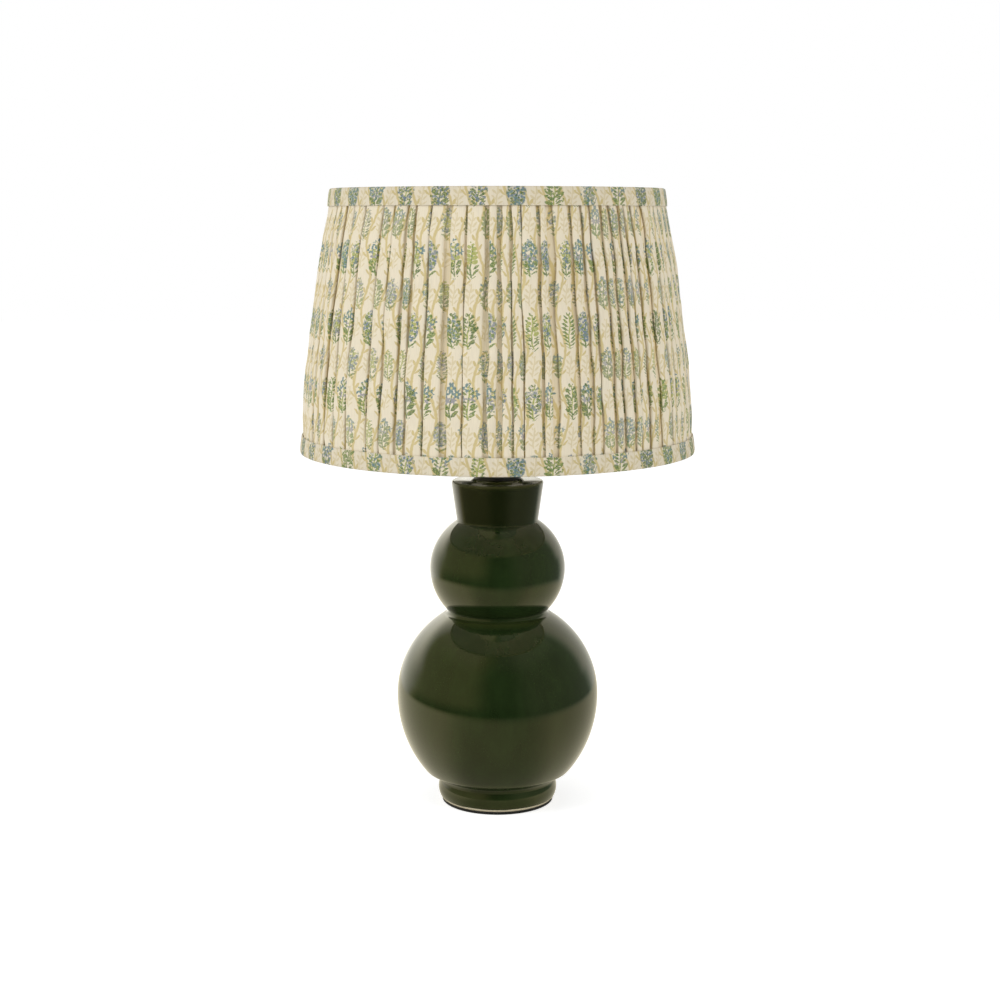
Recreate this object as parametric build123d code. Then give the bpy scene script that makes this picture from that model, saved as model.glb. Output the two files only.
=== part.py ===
"""Double gourd table lamp with a pleated cone shade.

All sizes are in millimetres.  The origin is the centre of the underside of the base pad,
+Z points up through the lamp, -Y is the front and the two legs of the harp stand on +X and -X.
"""
from build123d import *
from math import acos, cos, degrees, pi, radians, sin, sqrt
import os

os.makedirs("parts", exist_ok=True)

# ---------------------------------------------------------------- overall
lamp_height = 438.15          # underside of the pad to the top rim of the shade
contact_gap = 0.10            # air left between pieces of one body that lie side by side
turn_clearance = 0.05         # radial clearance of a pin that turns in its bore
thread_clearance = 0.05       # radial air between a plain thread and its nut
loose_clearance = 0.30        # radial air between bodies that slide past each other

# ---------------------------------------------------------------- ceramic gourd
pad_radius = 40.2
pad_thickness = 2.0
foot_bottom_radius = 41.2
foot_bare_edge = 1.2          # unglazed chamfer round the foot
foot_bulge_radius = 42.6
foot_bulge_z = 7.0
foot_neck_radius = 41.4
foot_neck_z = 15.5
undercut_depth = 3.4          # cove between the foot and the lower ball
undercut_z = 21.4
undercut_turn_out = 0.3       # where the cove's arc turns: share of its run outwards
undercut_turn_up = 0.7        # and share of its run upwards
ball_edge_z = 23.4            # lower edge of the lower ball
ball_edge_round = 1.2
lower_ball_z = 78.8
lower_ball_radius = 72.3
lower_ball_drop = 80.2        # half height of the lower ball below its widest ring
lower_ball_rise = 69.5        # half height above it
upper_ball_z = 171.2
upper_ball_radius = 48.3
upper_ball_drop = 45.3
upper_ball_rise = 42.8
waist_ledge_radius = 38.2     # where the shoulder of the lower ball turns into the waist cove
waist_crease_radius = 35.7    # where the waist cove meets the upper ball
waist_cove_sag = 0.5
neck_base_radius = 28.9
neck_base_round = 1.6
neck_rim_radius = 33.0
neck_rim_z = 234.4
neck_rim_round = 2.2
neck_dish_depth = 0.5
neck_seat_radius = 17.4       # raised ring round the rod hole
neck_seat_height = 1.8
neck_seat_round = 0.8
wall = 5.2
recess_radius = 34.5          # hollow under the floor of the foot
recess_depth = 17.0
floor_thickness = 5.0
rod_hole_radius = 6.3

# ---------------------------------------------------------------- rod and its fastenings
rod_radius = 4.9
rod_bore_radius = 3.1
rod_end_below_nut = 3.0
bottom_washer_radius = 15.0
bottom_washer_thickness = 2.2
bottom_nut_flats = 15.8
bottom_nut_thickness = 4.8
cord_hole_z = 11.0
grommet_radius = 5.0
grommet_bore_radius = 3.2
grommet_flange_radius = 6.4
grommet_flange_thickness = 1.4
grommet_flange_round = 0.8
grommet_fit = 0.10
grommet_tail = 1.2            # how far the grommet reaches into the hollow foot

# ---------------------------------------------------------------- neck hardware
gasket_radius = 15.2
gasket_thickness = 1.4
cap_radius = 16.7
cap_rim_wall = 1.2
cap_rim_lift = 0.2            # the rim of the cap stays just off the glaze
cap_thickness = 1.3
cap_round = 0.9
saddle_thickness = 1.5
saddle_width = 9.0
saddle_eye_radius = 9.5
saddle_bend_radius = 2.6
lock_nut_flats = 15.8
lock_nut_thickness = 3.0
harp_leg_spread = 56.0        # centre to centre of the two harp legs
tab_width = 3.4
tab_shoulder_height = 5.2     # above the underside of the saddle
tab_height = 13.2

# ---------------------------------------------------------------- harp
harp_height = 177.8           # underside of the saddle to the seat of the stud
harp_wire_radius = 1.6
harp_half_width = 50.0
harp_leg_straight = 26.0      # straight run of each leg before it spreads
harp_spread_rise = 34.0
harp_side_length = 62.0
harp_shoulder_half_width = 19.0
harp_bend_low = 20.0
harp_bend_side = 32.0
harp_bend_high = 46.0
harp_bend_top = 15.0
harp_plate_length = 22.0
harp_plate_width = 10.0
harp_plate_thickness = 2.4
harp_plate_round = 3.5
harp_wire_in_plate = 1.0      # length of wire forged into each end of the plate
ferrule_length = 16.0
ferrule_wall = 1.4
ferrule_bore_gap = 0.12
ferrule_bead = 0.5
ferrule_bead_height = 1.6
ferrule_bead_round = 0.4
stud_thread_radius = 3.1
stud_thread_length = 10.0
stud_flange_radius = 6.5
stud_flange_thickness = 2.0
stud_shank_radius = 2.5
stud_rivet_radius = 4.2
stud_rivet_thickness = 1.2

# ---------------------------------------------------------------- socket
socket_radius = 16.8
socket_metal = 0.8
socket_hub_radius = 7.4
socket_hub_height = 5.0
socket_dome_height = 9.0
socket_dome_turn_out = 0.75   # where the dome's arc turns: share of its run outwards
socket_dome_turn_up = 0.35    # and share of its run upwards
socket_cap_height = 19.0
socket_overlap = 4.0          # how far the shell sits down in the cap
socket_shell_height = 45.0
socket_lip = 0.8
socket_bead = 0.6             # height of the rolled bead round the middle of the shell
socket_bead_z = 22.0          # level of the bead above the lower edge of the shell
liner_thickness = 0.8
core_height = 12.5
core_chamfer = 1.0
core_bottom_above_hub = 20.0
key_barrel_radius = 3.4
key_barrel_length = 6.0
key_height_in_core = 6.2
key_slot_gap = 0.3
shaft_radius = 1.9
shaft_inner_length = 9.0
knob_radius = 5.0
knob_length = 11.0
knob_round = 1.25
knob_start = 27.0             # distance of the knob from the lamp's axis
knob_flutes = 12
knob_flute_radius = 0.7
knob_hole_depth = 7.0
screw_shell_metal = 0.5
screw_shell_height = 25.5
screw_shell_flange_radius = 9.5
contact_width = 6.0
contact_length = 11.0
contact_metal = 0.5
contact_rise = 1.7
terminal_screw_radius = 2.4
terminal_screw_length = 0.8
terminal_screw_sink = 0.2     # air between the screw's head and the side of the core
terminal_pocket_side = 1.2    # air each side of the screw in its pocket
set_screw_radius = 1.6
set_screw_reach = 2.4

# ---------------------------------------------------------------- bulb
bulb_length = 110.0
bulb_radius = 30.0
bulb_base_radius = 13.05
bulb_base_height = 21.5
bulb_base_metal = 0.5
bulb_base_chamfer = 1.2
bulb_base_hole_radius = 6.4   # hole in the floor of the metal cup
bulb_insulator_height = 4.0
bulb_insulator_inset = 1.4    # step from the metal cup in to the insulator
bulb_contact_radius = 4.6
bulb_contact_height = 1.4
bulb_contact_round = 1.1
bulb_neck_radius = 12.2
bulb_neck_depth = 4.0         # glass hidden inside the metal base
bulb_neck_straight = 6.0      # straight neck above the metal base
bulb_join_angle = 38.0        # where the flare runs into the ball, below its widest ring
bulb_flare_turn_out = 0.33    # where the flare's arc turns: share of its run outwards
bulb_flare_turn_up = 0.53     # and share of its run upwards
bulb_glass = 0.9
bulb_contact_air = 0.2

# ---------------------------------------------------------------- shade
shade_height = 181.9
shade_top_radius = 116.0
shade_bottom_radius = 139.2
trim_height = 12.0
trim_cloth = 0.7
trim_leg = 2.0
trim_leg_gap = 0.3            # air between the wire rings and the trim's inner leg
pleat_count = 76
pleat_depth = 1.9
pleat_skin = 0.6
pleat_recess_share = 0.36     # share of one pleat's pitch that lies in the recess
pleat_crest_drop = 0.25
pleat_width_swing = 0.20      # how unevenly the pleats are laid
pleat_lip_share = 0.03        # share of the pitch in which a pleat turns over
cloth_belly = 3.2             # how far the crests stand out between the two trims
cloth_belly_start = 0.22      # share of the way between the trims where the belly is nearly full
cloth_belly_rise = 0.8        # how much of it is reached there
liner_sheet = 0.9
ring_wire_radius = 1.2
arm_count = 3
arm_wire_radius = 1.3
arm_bend_radius = 9.0
hub_radius = 12.5
hub_thickness = 2.0
hub_hole_gap = 0.2

# ---------------------------------------------------------------- finial
finial_base_radius = 6.0
finial_base_thickness = 1.6
finial_neck_radius = 3.9
finial_neck_height = 2.6
finial_neck_waist = 0.3       # how much the neck draws in
finial_step = 0.6             # step from the base in to the neck
finial_base_chamfer = 0.4
finial_ball_radius = 6.2
finial_bore_spare = 1.2       # free thread above the end of the stud

# ---------------------------------------------------------------- levels worked out from the sizes
recess_top_z = pad_thickness + recess_depth
floor_top_z = recess_top_z + floor_thickness
neck_seat_z = neck_rim_z - neck_dish_depth + neck_seat_height
cap_under_z = neck_seat_z + gasket_thickness
saddle_z = cap_under_z + cap_thickness
saddle_top_z = saddle_z + saddle_thickness
hub_z = saddle_top_z + lock_nut_thickness
cap_mouth_z = hub_z + socket_cap_height
core_z = hub_z + core_bottom_above_hub
core_top_z = core_z + core_height
key_z = core_z + key_height_in_core
socket_shell_z = cap_mouth_z - socket_overlap
socket_mouth_z = socket_shell_z + socket_shell_height
tab_top_z = saddle_z + tab_height
ferrule_z = saddle_z + tab_shoulder_height
stud_seat_z = saddle_z + harp_height
spider_z = stud_seat_z + stud_flange_thickness
bulb_z = core_top_z + contact_rise + bulb_contact_air
bulb_base_z = bulb_z + bulb_contact_height + bulb_insulator_height
shade_top_z = lamp_height
shade_bottom_z = lamp_height - shade_height


# ---------------------------------------------------------------- helpers
def turned(outline):
    """Solid of revolution about the lamp's axis from a closed outline of (radius, z)."""
    return revolve(Plane.XZ * make_face(outline), Axis.Z)


def turned_points(*points):
    """Solid of revolution about the lamp's axis from straight-sided corners (radius, z)."""
    return turned(Polyline(*points, close=True))


def tube(outer, inner, z_low, z_high):
    """Upright tube between two levels."""
    return turned_points((inner, z_low), (outer, z_low), (outer, z_high), (inner, z_high))


def disc(radius, z_low, z_high, x=0.0):
    """Upright cylinder between two levels."""
    return Pos(x, 0, (z_low + z_high) / 2) * Cylinder(radius, z_high - z_low)


def hexagon(flats, z_low, z_high):
    """Hexagonal prism given by its width across flats."""
    face = Pos(0, 0, z_low) * RegularPolygon(flats / 2, 6, major_radius=False)
    return extrude(face, z_high - z_low)


def bar_along_y(radius, y_from, y_to, x=0.0, z=0.0):
    """Cylinder lying along Y."""
    return Pos(x, (y_from + y_to) / 2, z) * Rot(90, 0, 0) * Cylinder(radius, y_to - y_from)


def ball_rise(radius, widest, half_height):
    """Height from the widest ring of an elliptic ball to the ring of a given radius."""
    return half_height * sqrt(1 - (radius / widest) ** 2)


def ball_radius(height, widest, half_height):
    """Radius of an elliptic ball at a height from its widest ring."""
    return widest * sqrt(1 - (height / half_height) ** 2)


def ball_arc(centre_z, widest, half_height, radius_from, radius_to, side):
    """Outline of an elliptic ball between two radii, above (side 1) or below (side -1) its widest ring.

    Angles are counted from the lowest point of the ball, up through the widest ring to the top.
    """
    start = 90 + side * degrees(acos(radius_from / widest))
    end = 90 + side * degrees(acos(radius_to / widest))
    return EllipticalCenterArc((0, centre_z), half_height, widest, start_angle=start,
                               arc_size=end - start, rotation=-90)


def circle_edges(solid, radius, z):
    """Circular edges of a turned solid at one radius and level."""
    circles = solid.edges().filter_by(GeomType.CIRCLE)
    return [e for e in circles if abs(e.arc_center.Z - z) < 0.01 and abs(e.radius - radius) < 0.01]


# ---------------------------------------------------------------- gourd
def gourd_levels():
    """Corners of the gourd's outline that follow from where its balls are cut off."""
    edge_radius = ball_radius(lower_ball_z - ball_edge_z, lower_ball_radius, lower_ball_drop)
    ledge_z = lower_ball_z + ball_rise(waist_ledge_radius, lower_ball_radius, lower_ball_rise)
    crease_z = upper_ball_z - ball_rise(waist_crease_radius, upper_ball_radius, upper_ball_drop)
    neck_z = upper_ball_z + ball_rise(neck_base_radius, upper_ball_radius, upper_ball_rise)
    return edge_radius, ledge_z, crease_z, neck_z


def gourd_outside():
    """Solid inside the glaze: foot, lower ball, waist cove, upper ball and flared neck."""
    edge_radius, ledge_z, crease_z, neck_z = gourd_levels()
    foot_edge = (foot_bottom_radius - foot_bare_edge, pad_thickness)
    foot_low = (foot_bottom_radius, pad_thickness + foot_bare_edge)
    foot_neck = (foot_neck_radius, foot_neck_z)
    under = (edge_radius - undercut_depth, undercut_z)
    under_mid = (foot_neck_radius + (under[0] - foot_neck_radius) * undercut_turn_out,
                 foot_neck_z + (undercut_z - foot_neck_z) * undercut_turn_up)
    ledge = (waist_ledge_radius, ledge_z)
    crease = (waist_crease_radius, crease_z)
    cove_mid = ((waist_ledge_radius + waist_crease_radius) / 2 - waist_cove_sag,
                (ledge_z + crease_z) / 2 - waist_cove_sag)
    dish_z = neck_rim_z - neck_dish_depth
    lower = (lower_ball_z, lower_ball_radius)
    upper = (upper_ball_z, upper_ball_radius)
    outline = [
        Line((0, pad_thickness), foot_edge),
        Line(foot_edge, foot_low),
        ThreePointArc(foot_low, (foot_bulge_radius, foot_bulge_z), foot_neck),
        ThreePointArc(foot_neck, under_mid, under),
        Line(under, (edge_radius, ball_edge_z)),
        ball_arc(*lower, lower_ball_drop, edge_radius, lower_ball_radius, -1),
        ball_arc(*lower, lower_ball_rise, lower_ball_radius, waist_ledge_radius, 1),
        ThreePointArc(ledge, cove_mid, crease),
        ball_arc(*upper, upper_ball_drop, waist_crease_radius, upper_ball_radius, -1),
        ball_arc(*upper, upper_ball_rise, upper_ball_radius, neck_base_radius, 1),
        Line((neck_base_radius, neck_z), (neck_rim_radius, neck_rim_z)),
        Line((neck_rim_radius, neck_rim_z), (neck_seat_radius + neck_seat_height, dish_z)),
        Line((neck_seat_radius + neck_seat_height, dish_z), (neck_seat_radius, neck_seat_z)),
        Line((neck_seat_radius, neck_seat_z), (0, neck_seat_z)),
        Line((0, neck_seat_z), (0, pad_thickness)),
    ]
    solid = turned(outline)
    solid = fillet(circle_edges(solid, edge_radius, ball_edge_z), ball_edge_round)
    solid = fillet(circle_edges(solid, neck_base_radius, neck_z), neck_base_round)
    solid = fillet(circle_edges(solid, neck_rim_radius, neck_rim_z), neck_rim_round)
    return fillet(circle_edges(solid, neck_seat_radius, neck_seat_z), neck_seat_round)


def gourd_cavity():
    """Hollow of the gourd: both balls one wall smaller, joined through the waist and the neck."""
    lower_inner = lower_ball_radius - wall
    upper_inner = upper_ball_radius - wall
    waist_inner = waist_crease_radius - wall
    neck_inner = neck_base_radius - wall
    lower_drop = lower_ball_drop - wall
    lower_rise = lower_ball_rise - wall
    upper_drop = upper_ball_drop - wall
    upper_rise = upper_ball_rise - wall
    floor_radius = ball_radius(lower_ball_z - floor_top_z, lower_inner, lower_drop)
    waist_low = (waist_inner, lower_ball_z + ball_rise(waist_inner, lower_inner, lower_rise))
    waist_high = (waist_inner, upper_ball_z - ball_rise(waist_inner, upper_inner, upper_drop))
    neck_low = (neck_inner, upper_ball_z + ball_rise(neck_inner, upper_inner, upper_rise))
    neck_high = (neck_inner + neck_rim_radius - neck_base_radius, neck_rim_z - neck_dish_depth - wall)
    outline = [
        Line((0, floor_top_z), (floor_radius, floor_top_z)),
        ball_arc(lower_ball_z, lower_inner, lower_drop, floor_radius, lower_inner, -1),
        ball_arc(lower_ball_z, lower_inner, lower_rise, lower_inner, waist_inner, 1),
        Line(waist_low, waist_high),
        ball_arc(upper_ball_z, upper_inner, upper_drop, waist_inner, upper_inner, -1),
        ball_arc(upper_ball_z, upper_inner, upper_rise, upper_inner, neck_inner, 1),
        Line(neck_low, neck_high),
        Line(neck_high, (0, neck_high[1])),
        Line((0, neck_high[1]), (0, floor_top_z)),
    ]
    return turned(outline)


def gourd_body():
    """Hollow ceramic gourd with a recessed foot, a rod hole and a cord hole at the back."""
    body = gourd_outside() - gourd_cavity()
    body -= disc(recess_radius, 0, recess_top_z)
    body -= disc(rod_hole_radius, recess_top_z - 1, neck_seat_z + 1)
    return body - bar_along_y(grommet_radius + grommet_fit, 0, foot_bulge_radius + pad_radius, z=cord_hole_z)


def base_pad():
    """Round rubber pad glued under the foot."""
    return disc(pad_radius, 0, pad_thickness)


def cord_grommet():
    """Rubber bush that lines the cord hole, with a flange outside."""
    inner_end = recess_radius - grommet_tail
    flange_start = foot_bulge_radius
    bush = bar_along_y(grommet_radius, inner_end, flange_start, z=cord_hole_z)
    flange = bar_along_y(grommet_flange_radius, flange_start, flange_start + grommet_flange_thickness,
                         z=cord_hole_z)
    flange = fillet(flange.edges().group_by(Axis.Y)[-1], grommet_flange_round)
    return bush + flange - bar_along_y(grommet_bore_radius, 0, foot_bulge_radius * 2, z=cord_hole_z)


# ---------------------------------------------------------------- rod and its fastenings
def threaded_rod():
    """Hollow rod that clamps the gourd between the foot nut and the socket cap."""
    low = recess_top_z - bottom_washer_thickness - bottom_nut_thickness - rod_end_below_nut
    return tube(rod_radius, rod_bore_radius, low, hub_z + socket_hub_height)


def bottom_washer():
    """Wide steel washer under the floor of the foot."""
    return tube(bottom_washer_radius, rod_radius + thread_clearance,
                recess_top_z - bottom_washer_thickness, recess_top_z)


def bottom_nut():
    """Hexagon nut on the lower end of the rod."""
    high = recess_top_z - bottom_washer_thickness
    low = high - bottom_nut_thickness
    return hexagon(bottom_nut_flats, low, high) - disc(rod_radius + thread_clearance, low - 1, high + 1)


# ---------------------------------------------------------------- neck hardware
def neck_gasket():
    """Rubber washer between the glazed seat and the metal cap."""
    return tube(gasket_radius, rod_radius + loose_clearance, neck_seat_z, cap_under_z)


def neck_cap():
    """Shallow metal cap over the rod hole, turned down round the gasket."""
    rim_z = neck_seat_z + cap_rim_lift
    rim_inner = cap_radius - cap_rim_wall
    eye = rod_radius + thread_clearance
    cap = turned_points((eye, cap_under_z), (rim_inner, cap_under_z), (rim_inner, rim_z),
                        (cap_radius, rim_z), (cap_radius, saddle_z), (eye, saddle_z))
    return fillet(circle_edges(cap, cap_radius, saddle_z), cap_round)


def harp_saddle():
    """Bent strip under the socket whose upturned tabs carry the harp."""
    half = harp_leg_spread / 2
    strip_face = Plane.XZ * make_face(saddle_strip(half))
    strip = extrude(strip_face, saddle_width / 2, both=True)
    eye = disc(saddle_eye_radius, saddle_z, saddle_top_z)
    slim = Box(saddle_width, saddle_width, tab_height)
    keep = Box(saddle_width * 2, tab_width, tab_height * 2)
    for side in (-1, 1):
        place = Pos(side * half, 0, ferrule_z + tab_height / 2)
        strip -= place * (slim - keep)
    return strip + eye - disc(rod_radius + thread_clearance, saddle_z - 1, saddle_top_z + 1)


def saddle_strip(half):
    """Closed outline, in x and z, of the saddle's strip seen from the front."""
    reach = half + saddle_thickness / 2
    inner = half - saddle_thickness / 2
    outside = FilletPolyline((-reach, tab_top_z), (-reach, saddle_z), (reach, saddle_z), (reach, tab_top_z),
                             radius=saddle_bend_radius + saddle_thickness)
    inside = FilletPolyline((inner, tab_top_z), (inner, saddle_top_z), (-inner, saddle_top_z),
                            (-inner, tab_top_z), radius=saddle_bend_radius)
    return [outside, Line((reach, tab_top_z), (inner, tab_top_z)), inside,
            Line((-inner, tab_top_z), (-reach, tab_top_z))]


def lock_nut():
    """Thin hexagon nut that clamps the saddle and the cap to the gourd."""
    nut = hexagon(lock_nut_flats, saddle_top_z, hub_z)
    return nut - disc(rod_radius + thread_clearance, saddle_top_z - 1, hub_z + 1)


# ---------------------------------------------------------------- harp
def harp_route():
    """Half of the harp's bent line in x and z, from the end of a leg to the top plate."""
    leg = harp_leg_spread / 2
    knee_z = tab_top_z + harp_leg_straight
    side_z = knee_z + harp_spread_rise
    top_z = stud_seat_z - harp_plate_thickness / 2
    corners = [(leg, tab_top_z), (leg, knee_z), (harp_half_width, side_z),
               (harp_half_width, side_z + harp_side_length), (harp_shoulder_half_width, top_z),
               (harp_plate_length / 2 - harp_wire_in_plate, top_z)]
    bends = [harp_bend_low, harp_bend_side, harp_bend_high, harp_bend_top]
    return FilletPolyline(*corners, radius=bends)


def harp():
    """Wire loop that arches over the bulb, flattened and drilled at the top for the swivel stud."""
    route = Plane.XZ * harp_route()
    leg_end = Plane((harp_leg_spread / 2, 0, tab_top_z), z_dir=(0, 0, 1))
    half = sweep(leg_end * Circle(harp_wire_radius), path=route)
    plate_z = stud_seat_z - harp_plate_thickness / 2
    plate = Pos(0, 0, plate_z) * Box(harp_plate_length, harp_plate_width, harp_plate_thickness)
    plate = fillet(plate.edges().filter_by(Axis.Z), harp_plate_round)
    hole = disc(stud_shank_radius + turn_clearance, stud_seat_z - harp_plate_thickness - 1, stud_seat_z + 1)
    return plate + half + mirror(half, Plane.YZ) - hole


def ferrule(side):
    """Sleeve that drops over a tab of the saddle and the end of a harp leg."""
    bore = sqrt(tab_width ** 2 + saddle_thickness ** 2) / 2 + ferrule_bore_gap
    outer = bore + ferrule_wall
    top = ferrule_z + ferrule_length
    bead = outer + ferrule_bead
    bead_top = ferrule_z + ferrule_bead_height
    sleeve = turned_points((bore, ferrule_z), (bead, ferrule_z), (bead, bead_top), (outer, bead_top),
                           (outer, top), (bore, top))
    sleeve = fillet(circle_edges(sleeve, bead, bead_top), ferrule_bead_round)
    return Pos(side * harp_leg_spread / 2, 0, 0) * sleeve


def harp_stud():
    """Swivel stud riveted through the harp, with a flange and a threaded end for the shade."""
    shank_low = stud_seat_z - harp_plate_thickness
    rivet_low = shank_low - stud_rivet_thickness
    thread_top = spider_z + stud_thread_length
    return turned_points((0, rivet_low), (stud_rivet_radius, rivet_low),
                         (stud_rivet_radius, shank_low), (stud_shank_radius, shank_low),
                         (stud_shank_radius, stud_seat_z), (stud_flange_radius, stud_seat_z),
                         (stud_flange_radius, spider_z), (stud_thread_radius, spider_z),
                         (stud_thread_radius, thread_top), (0, thread_top))


# ---------------------------------------------------------------- socket
def socket_cap():
    """Domed metal cap at the foot of the socket, screwed on the rod by its hub."""
    bore = rod_radius + thread_clearance
    dome_low = hub_z + socket_hub_height
    dome_high = dome_low + socket_dome_height
    inner = socket_radius - socket_metal
    hub_inner_z = dome_low + socket_metal
    mid = socket_hub_radius + (socket_radius - socket_hub_radius) * socket_dome_turn_out
    mid_z = dome_low + socket_dome_height * socket_dome_turn_up
    outline = [
        Line((bore, hub_z), (socket_hub_radius, hub_z)),
        Line((socket_hub_radius, hub_z), (socket_hub_radius, dome_low)),
        ThreePointArc((socket_hub_radius, dome_low), (mid, mid_z), (socket_radius, dome_high)),
        Line((socket_radius, dome_high), (socket_radius, cap_mouth_z)),
        Line((socket_radius, cap_mouth_z), (inner, cap_mouth_z)),
        Line((inner, cap_mouth_z), (inner, dome_high)),
        ThreePointArc((inner, dome_high), (mid - socket_metal, mid_z + socket_metal),
                      (socket_hub_radius, hub_inner_z)),
        Line((socket_hub_radius, hub_inner_z), (bore, hub_inner_z)),
        Line((bore, hub_inner_z), (bore, hub_z)),
    ]
    return turned(outline) - set_screw_bore()


def set_screw_bore():
    """Hole through one side of the hub for the screw that locks it on the rod."""
    z = hub_z + socket_hub_height / 2
    return bar_along_y(set_screw_radius + thread_clearance, rod_radius, socket_hub_radius + 1, z=z)


def set_screw():
    """Headless screw that locks the socket cap on the rod."""
    start = rod_radius + contact_gap
    return bar_along_y(set_screw_radius, start, start + set_screw_reach, z=hub_z + socket_hub_height / 2)


def socket_shell():
    """Metal shell of the socket, stepped in to fit the cap and slotted for the switch barrel."""
    low = socket_shell_z
    step_outer = socket_radius - socket_metal - contact_gap
    step_inner = step_outer - socket_metal
    inner = socket_radius - socket_metal
    lip = socket_radius + socket_lip
    lip_low = socket_mouth_z - socket_lip * 2
    bead = low + socket_bead_z
    shell = turned_points((step_inner, low), (step_outer, low), (step_outer, cap_mouth_z),
                          (socket_radius, cap_mouth_z), (socket_radius, bead - socket_bead * 2),
                          (socket_radius + socket_bead, bead - socket_bead / 2),
                          (socket_radius + socket_bead, bead + socket_bead / 2),
                          (socket_radius, bead + socket_bead * 2),
                          (socket_radius, lip_low), (lip, lip_low + socket_lip),
                          (lip, socket_mouth_z), (inner, socket_mouth_z),
                          (inner, cap_mouth_z + socket_metal), (step_inner, cap_mouth_z + socket_metal))
    slot_radius = key_barrel_radius + key_slot_gap
    slot = bar_along_y(slot_radius, -socket_radius * 2, 0, z=key_z)
    slot += Pos(0, -socket_radius, (low + key_z) / 2) * Box(slot_radius * 2, socket_radius * 2, key_z - low)
    return shell - slot


def socket_liner():
    """Card sleeve that insulates the shell from the screw shell and its terminals."""
    outer = socket_radius - socket_metal * 2 - contact_gap * 2
    sleeve = tube(outer, outer - liner_thickness, socket_shell_z, socket_mouth_z - socket_lip)
    slot_radius = key_barrel_radius + key_slot_gap
    return sleeve - bar_along_y(slot_radius, -socket_radius * 2, 0, z=key_z)


def core_radius():
    """Radius of the moulded core, which fills the liner."""
    return socket_radius - socket_metal * 2 - contact_gap * 3 - liner_thickness


def socket_core():
    """Moulded core of the socket with the switch barrel and a pocket for each terminal screw."""
    radius = core_radius()
    core = disc(radius, core_z, core_top_z)
    core = chamfer(core.edges().group_by(Axis.Z)[0], core_chamfer)
    core += bar_along_y(key_barrel_radius, -radius - key_barrel_length, -radius / 2, z=key_z)
    core -= bar_along_y(shaft_radius + turn_clearance, -socket_radius * 2, -shaft_inner_length, z=key_z)
    for side in (-1, 1):
        pocket = Box(terminal_depth() * 2, (terminal_screw_radius + terminal_pocket_side) * 2, core_height)
        core -= Pos(side * radius, 0, core_z + core_height / 2) * pocket
    return core


def terminal_depth():
    """Depth of the pocket that holds a terminal screw."""
    return terminal_screw_length + terminal_screw_sink


def terminal_screws():
    """Two screws, one each side of the core, that hold the flex's conductors."""
    screw = Rot(0, 90, 0) * Cylinder(terminal_screw_radius, terminal_screw_length)
    mid = core_radius() - terminal_depth() + terminal_screw_length / 2
    z = core_z + core_height / 2
    return [Pos(side * mid, 0, z) * screw for side in (-1, 1)]


def screw_shell():
    """Threaded cup that takes the bulb, with its inner flange on the core."""
    inner = bulb_base_radius + loose_clearance
    outer = inner + screw_shell_metal
    floor = core_top_z + screw_shell_metal
    top = core_top_z + screw_shell_height
    return turned_points((screw_shell_flange_radius, core_top_z), (outer, core_top_z), (outer, top),
                         (inner, top), (inner, floor), (screw_shell_flange_radius, floor))


def center_contact():
    """Springy strip in the middle of the core that touches the bulb."""
    half = contact_length / 2
    rise = core_top_z + contact_rise
    foot = Line((-half, core_top_z), (-half + contact_width / 2, core_top_z))
    ramp = Line((-half + contact_width / 2, core_top_z), (0, rise - contact_metal))
    tip = Line((0, rise - contact_metal), (half - contact_metal, rise - contact_metal))
    back = Line((half - contact_metal, rise - contact_metal), (half - contact_metal, rise))
    over = Line((half - contact_metal, rise), (0, rise))
    down = Line((0, rise), (-half + contact_width / 2, core_top_z + contact_metal))
    rest = Line((-half + contact_width / 2, core_top_z + contact_metal), (-half, core_top_z + contact_metal))
    end = Line((-half, core_top_z + contact_metal), (-half, core_top_z))
    face = Plane.XZ * make_face([foot, ramp, tip, back, over, down, rest, end])
    return extrude(face, contact_width / 2, both=True)


def switch_shaft():
    """Shaft of the turn switch, running in the barrel of the core."""
    return bar_along_y(shaft_radius, -knob_start - knob_hole_depth, -shaft_inner_length, z=key_z)


def switch_knob():
    """Fluted knob pressed on the end of the switch shaft."""
    knob = bar_along_y(knob_radius, -knob_start - knob_length, -knob_start, z=key_z)
    knob = fillet(knob.edges().group_by(Axis.Y)[0], knob_round)
    for index in range(knob_flutes):
        angle = 2 * pi * index / knob_flutes
        x = knob_radius * cos(angle)
        z = key_z + knob_radius * sin(angle)
        knob -= bar_along_y(knob_flute_radius, -knob_start - knob_length, -knob_start, x=x, z=z)
    return knob - bar_along_y(shaft_radius + contact_gap, -knob_start - knob_hole_depth, -knob_start, z=key_z)


# ---------------------------------------------------------------- bulb
def bulb_base():
    """Threaded metal cup of the bulb, open where the glass goes in."""
    outer = bulb_base_radius
    inner = outer - bulb_base_metal
    top = bulb_base_z + bulb_base_height
    edge = bulb_base_chamfer
    return turned_points((bulb_base_hole_radius, bulb_base_z), (outer - edge, bulb_base_z),
                         (outer, bulb_base_z + edge), (outer, top), (inner, top),
                         (inner, bulb_base_z + edge + bulb_base_metal),
                         (inner - edge, bulb_base_z + bulb_base_metal),
                         (bulb_base_hole_radius, bulb_base_z + bulb_base_metal))


def bulb_insulator():
    """Dark glass cone between the metal cup and the tip contact."""
    low = bulb_z + bulb_contact_height
    return turned_points((0, low), (bulb_contact_radius, low), (bulb_base_radius - bulb_insulator_inset, bulb_base_z),
                         (0, bulb_base_z))


def bulb_contact():
    """Soldered tip contact of the bulb."""
    button = disc(bulb_contact_radius, bulb_z, bulb_z + bulb_contact_height)
    return fillet(button.edges().group_by(Axis.Z)[0], bulb_contact_round)


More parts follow.
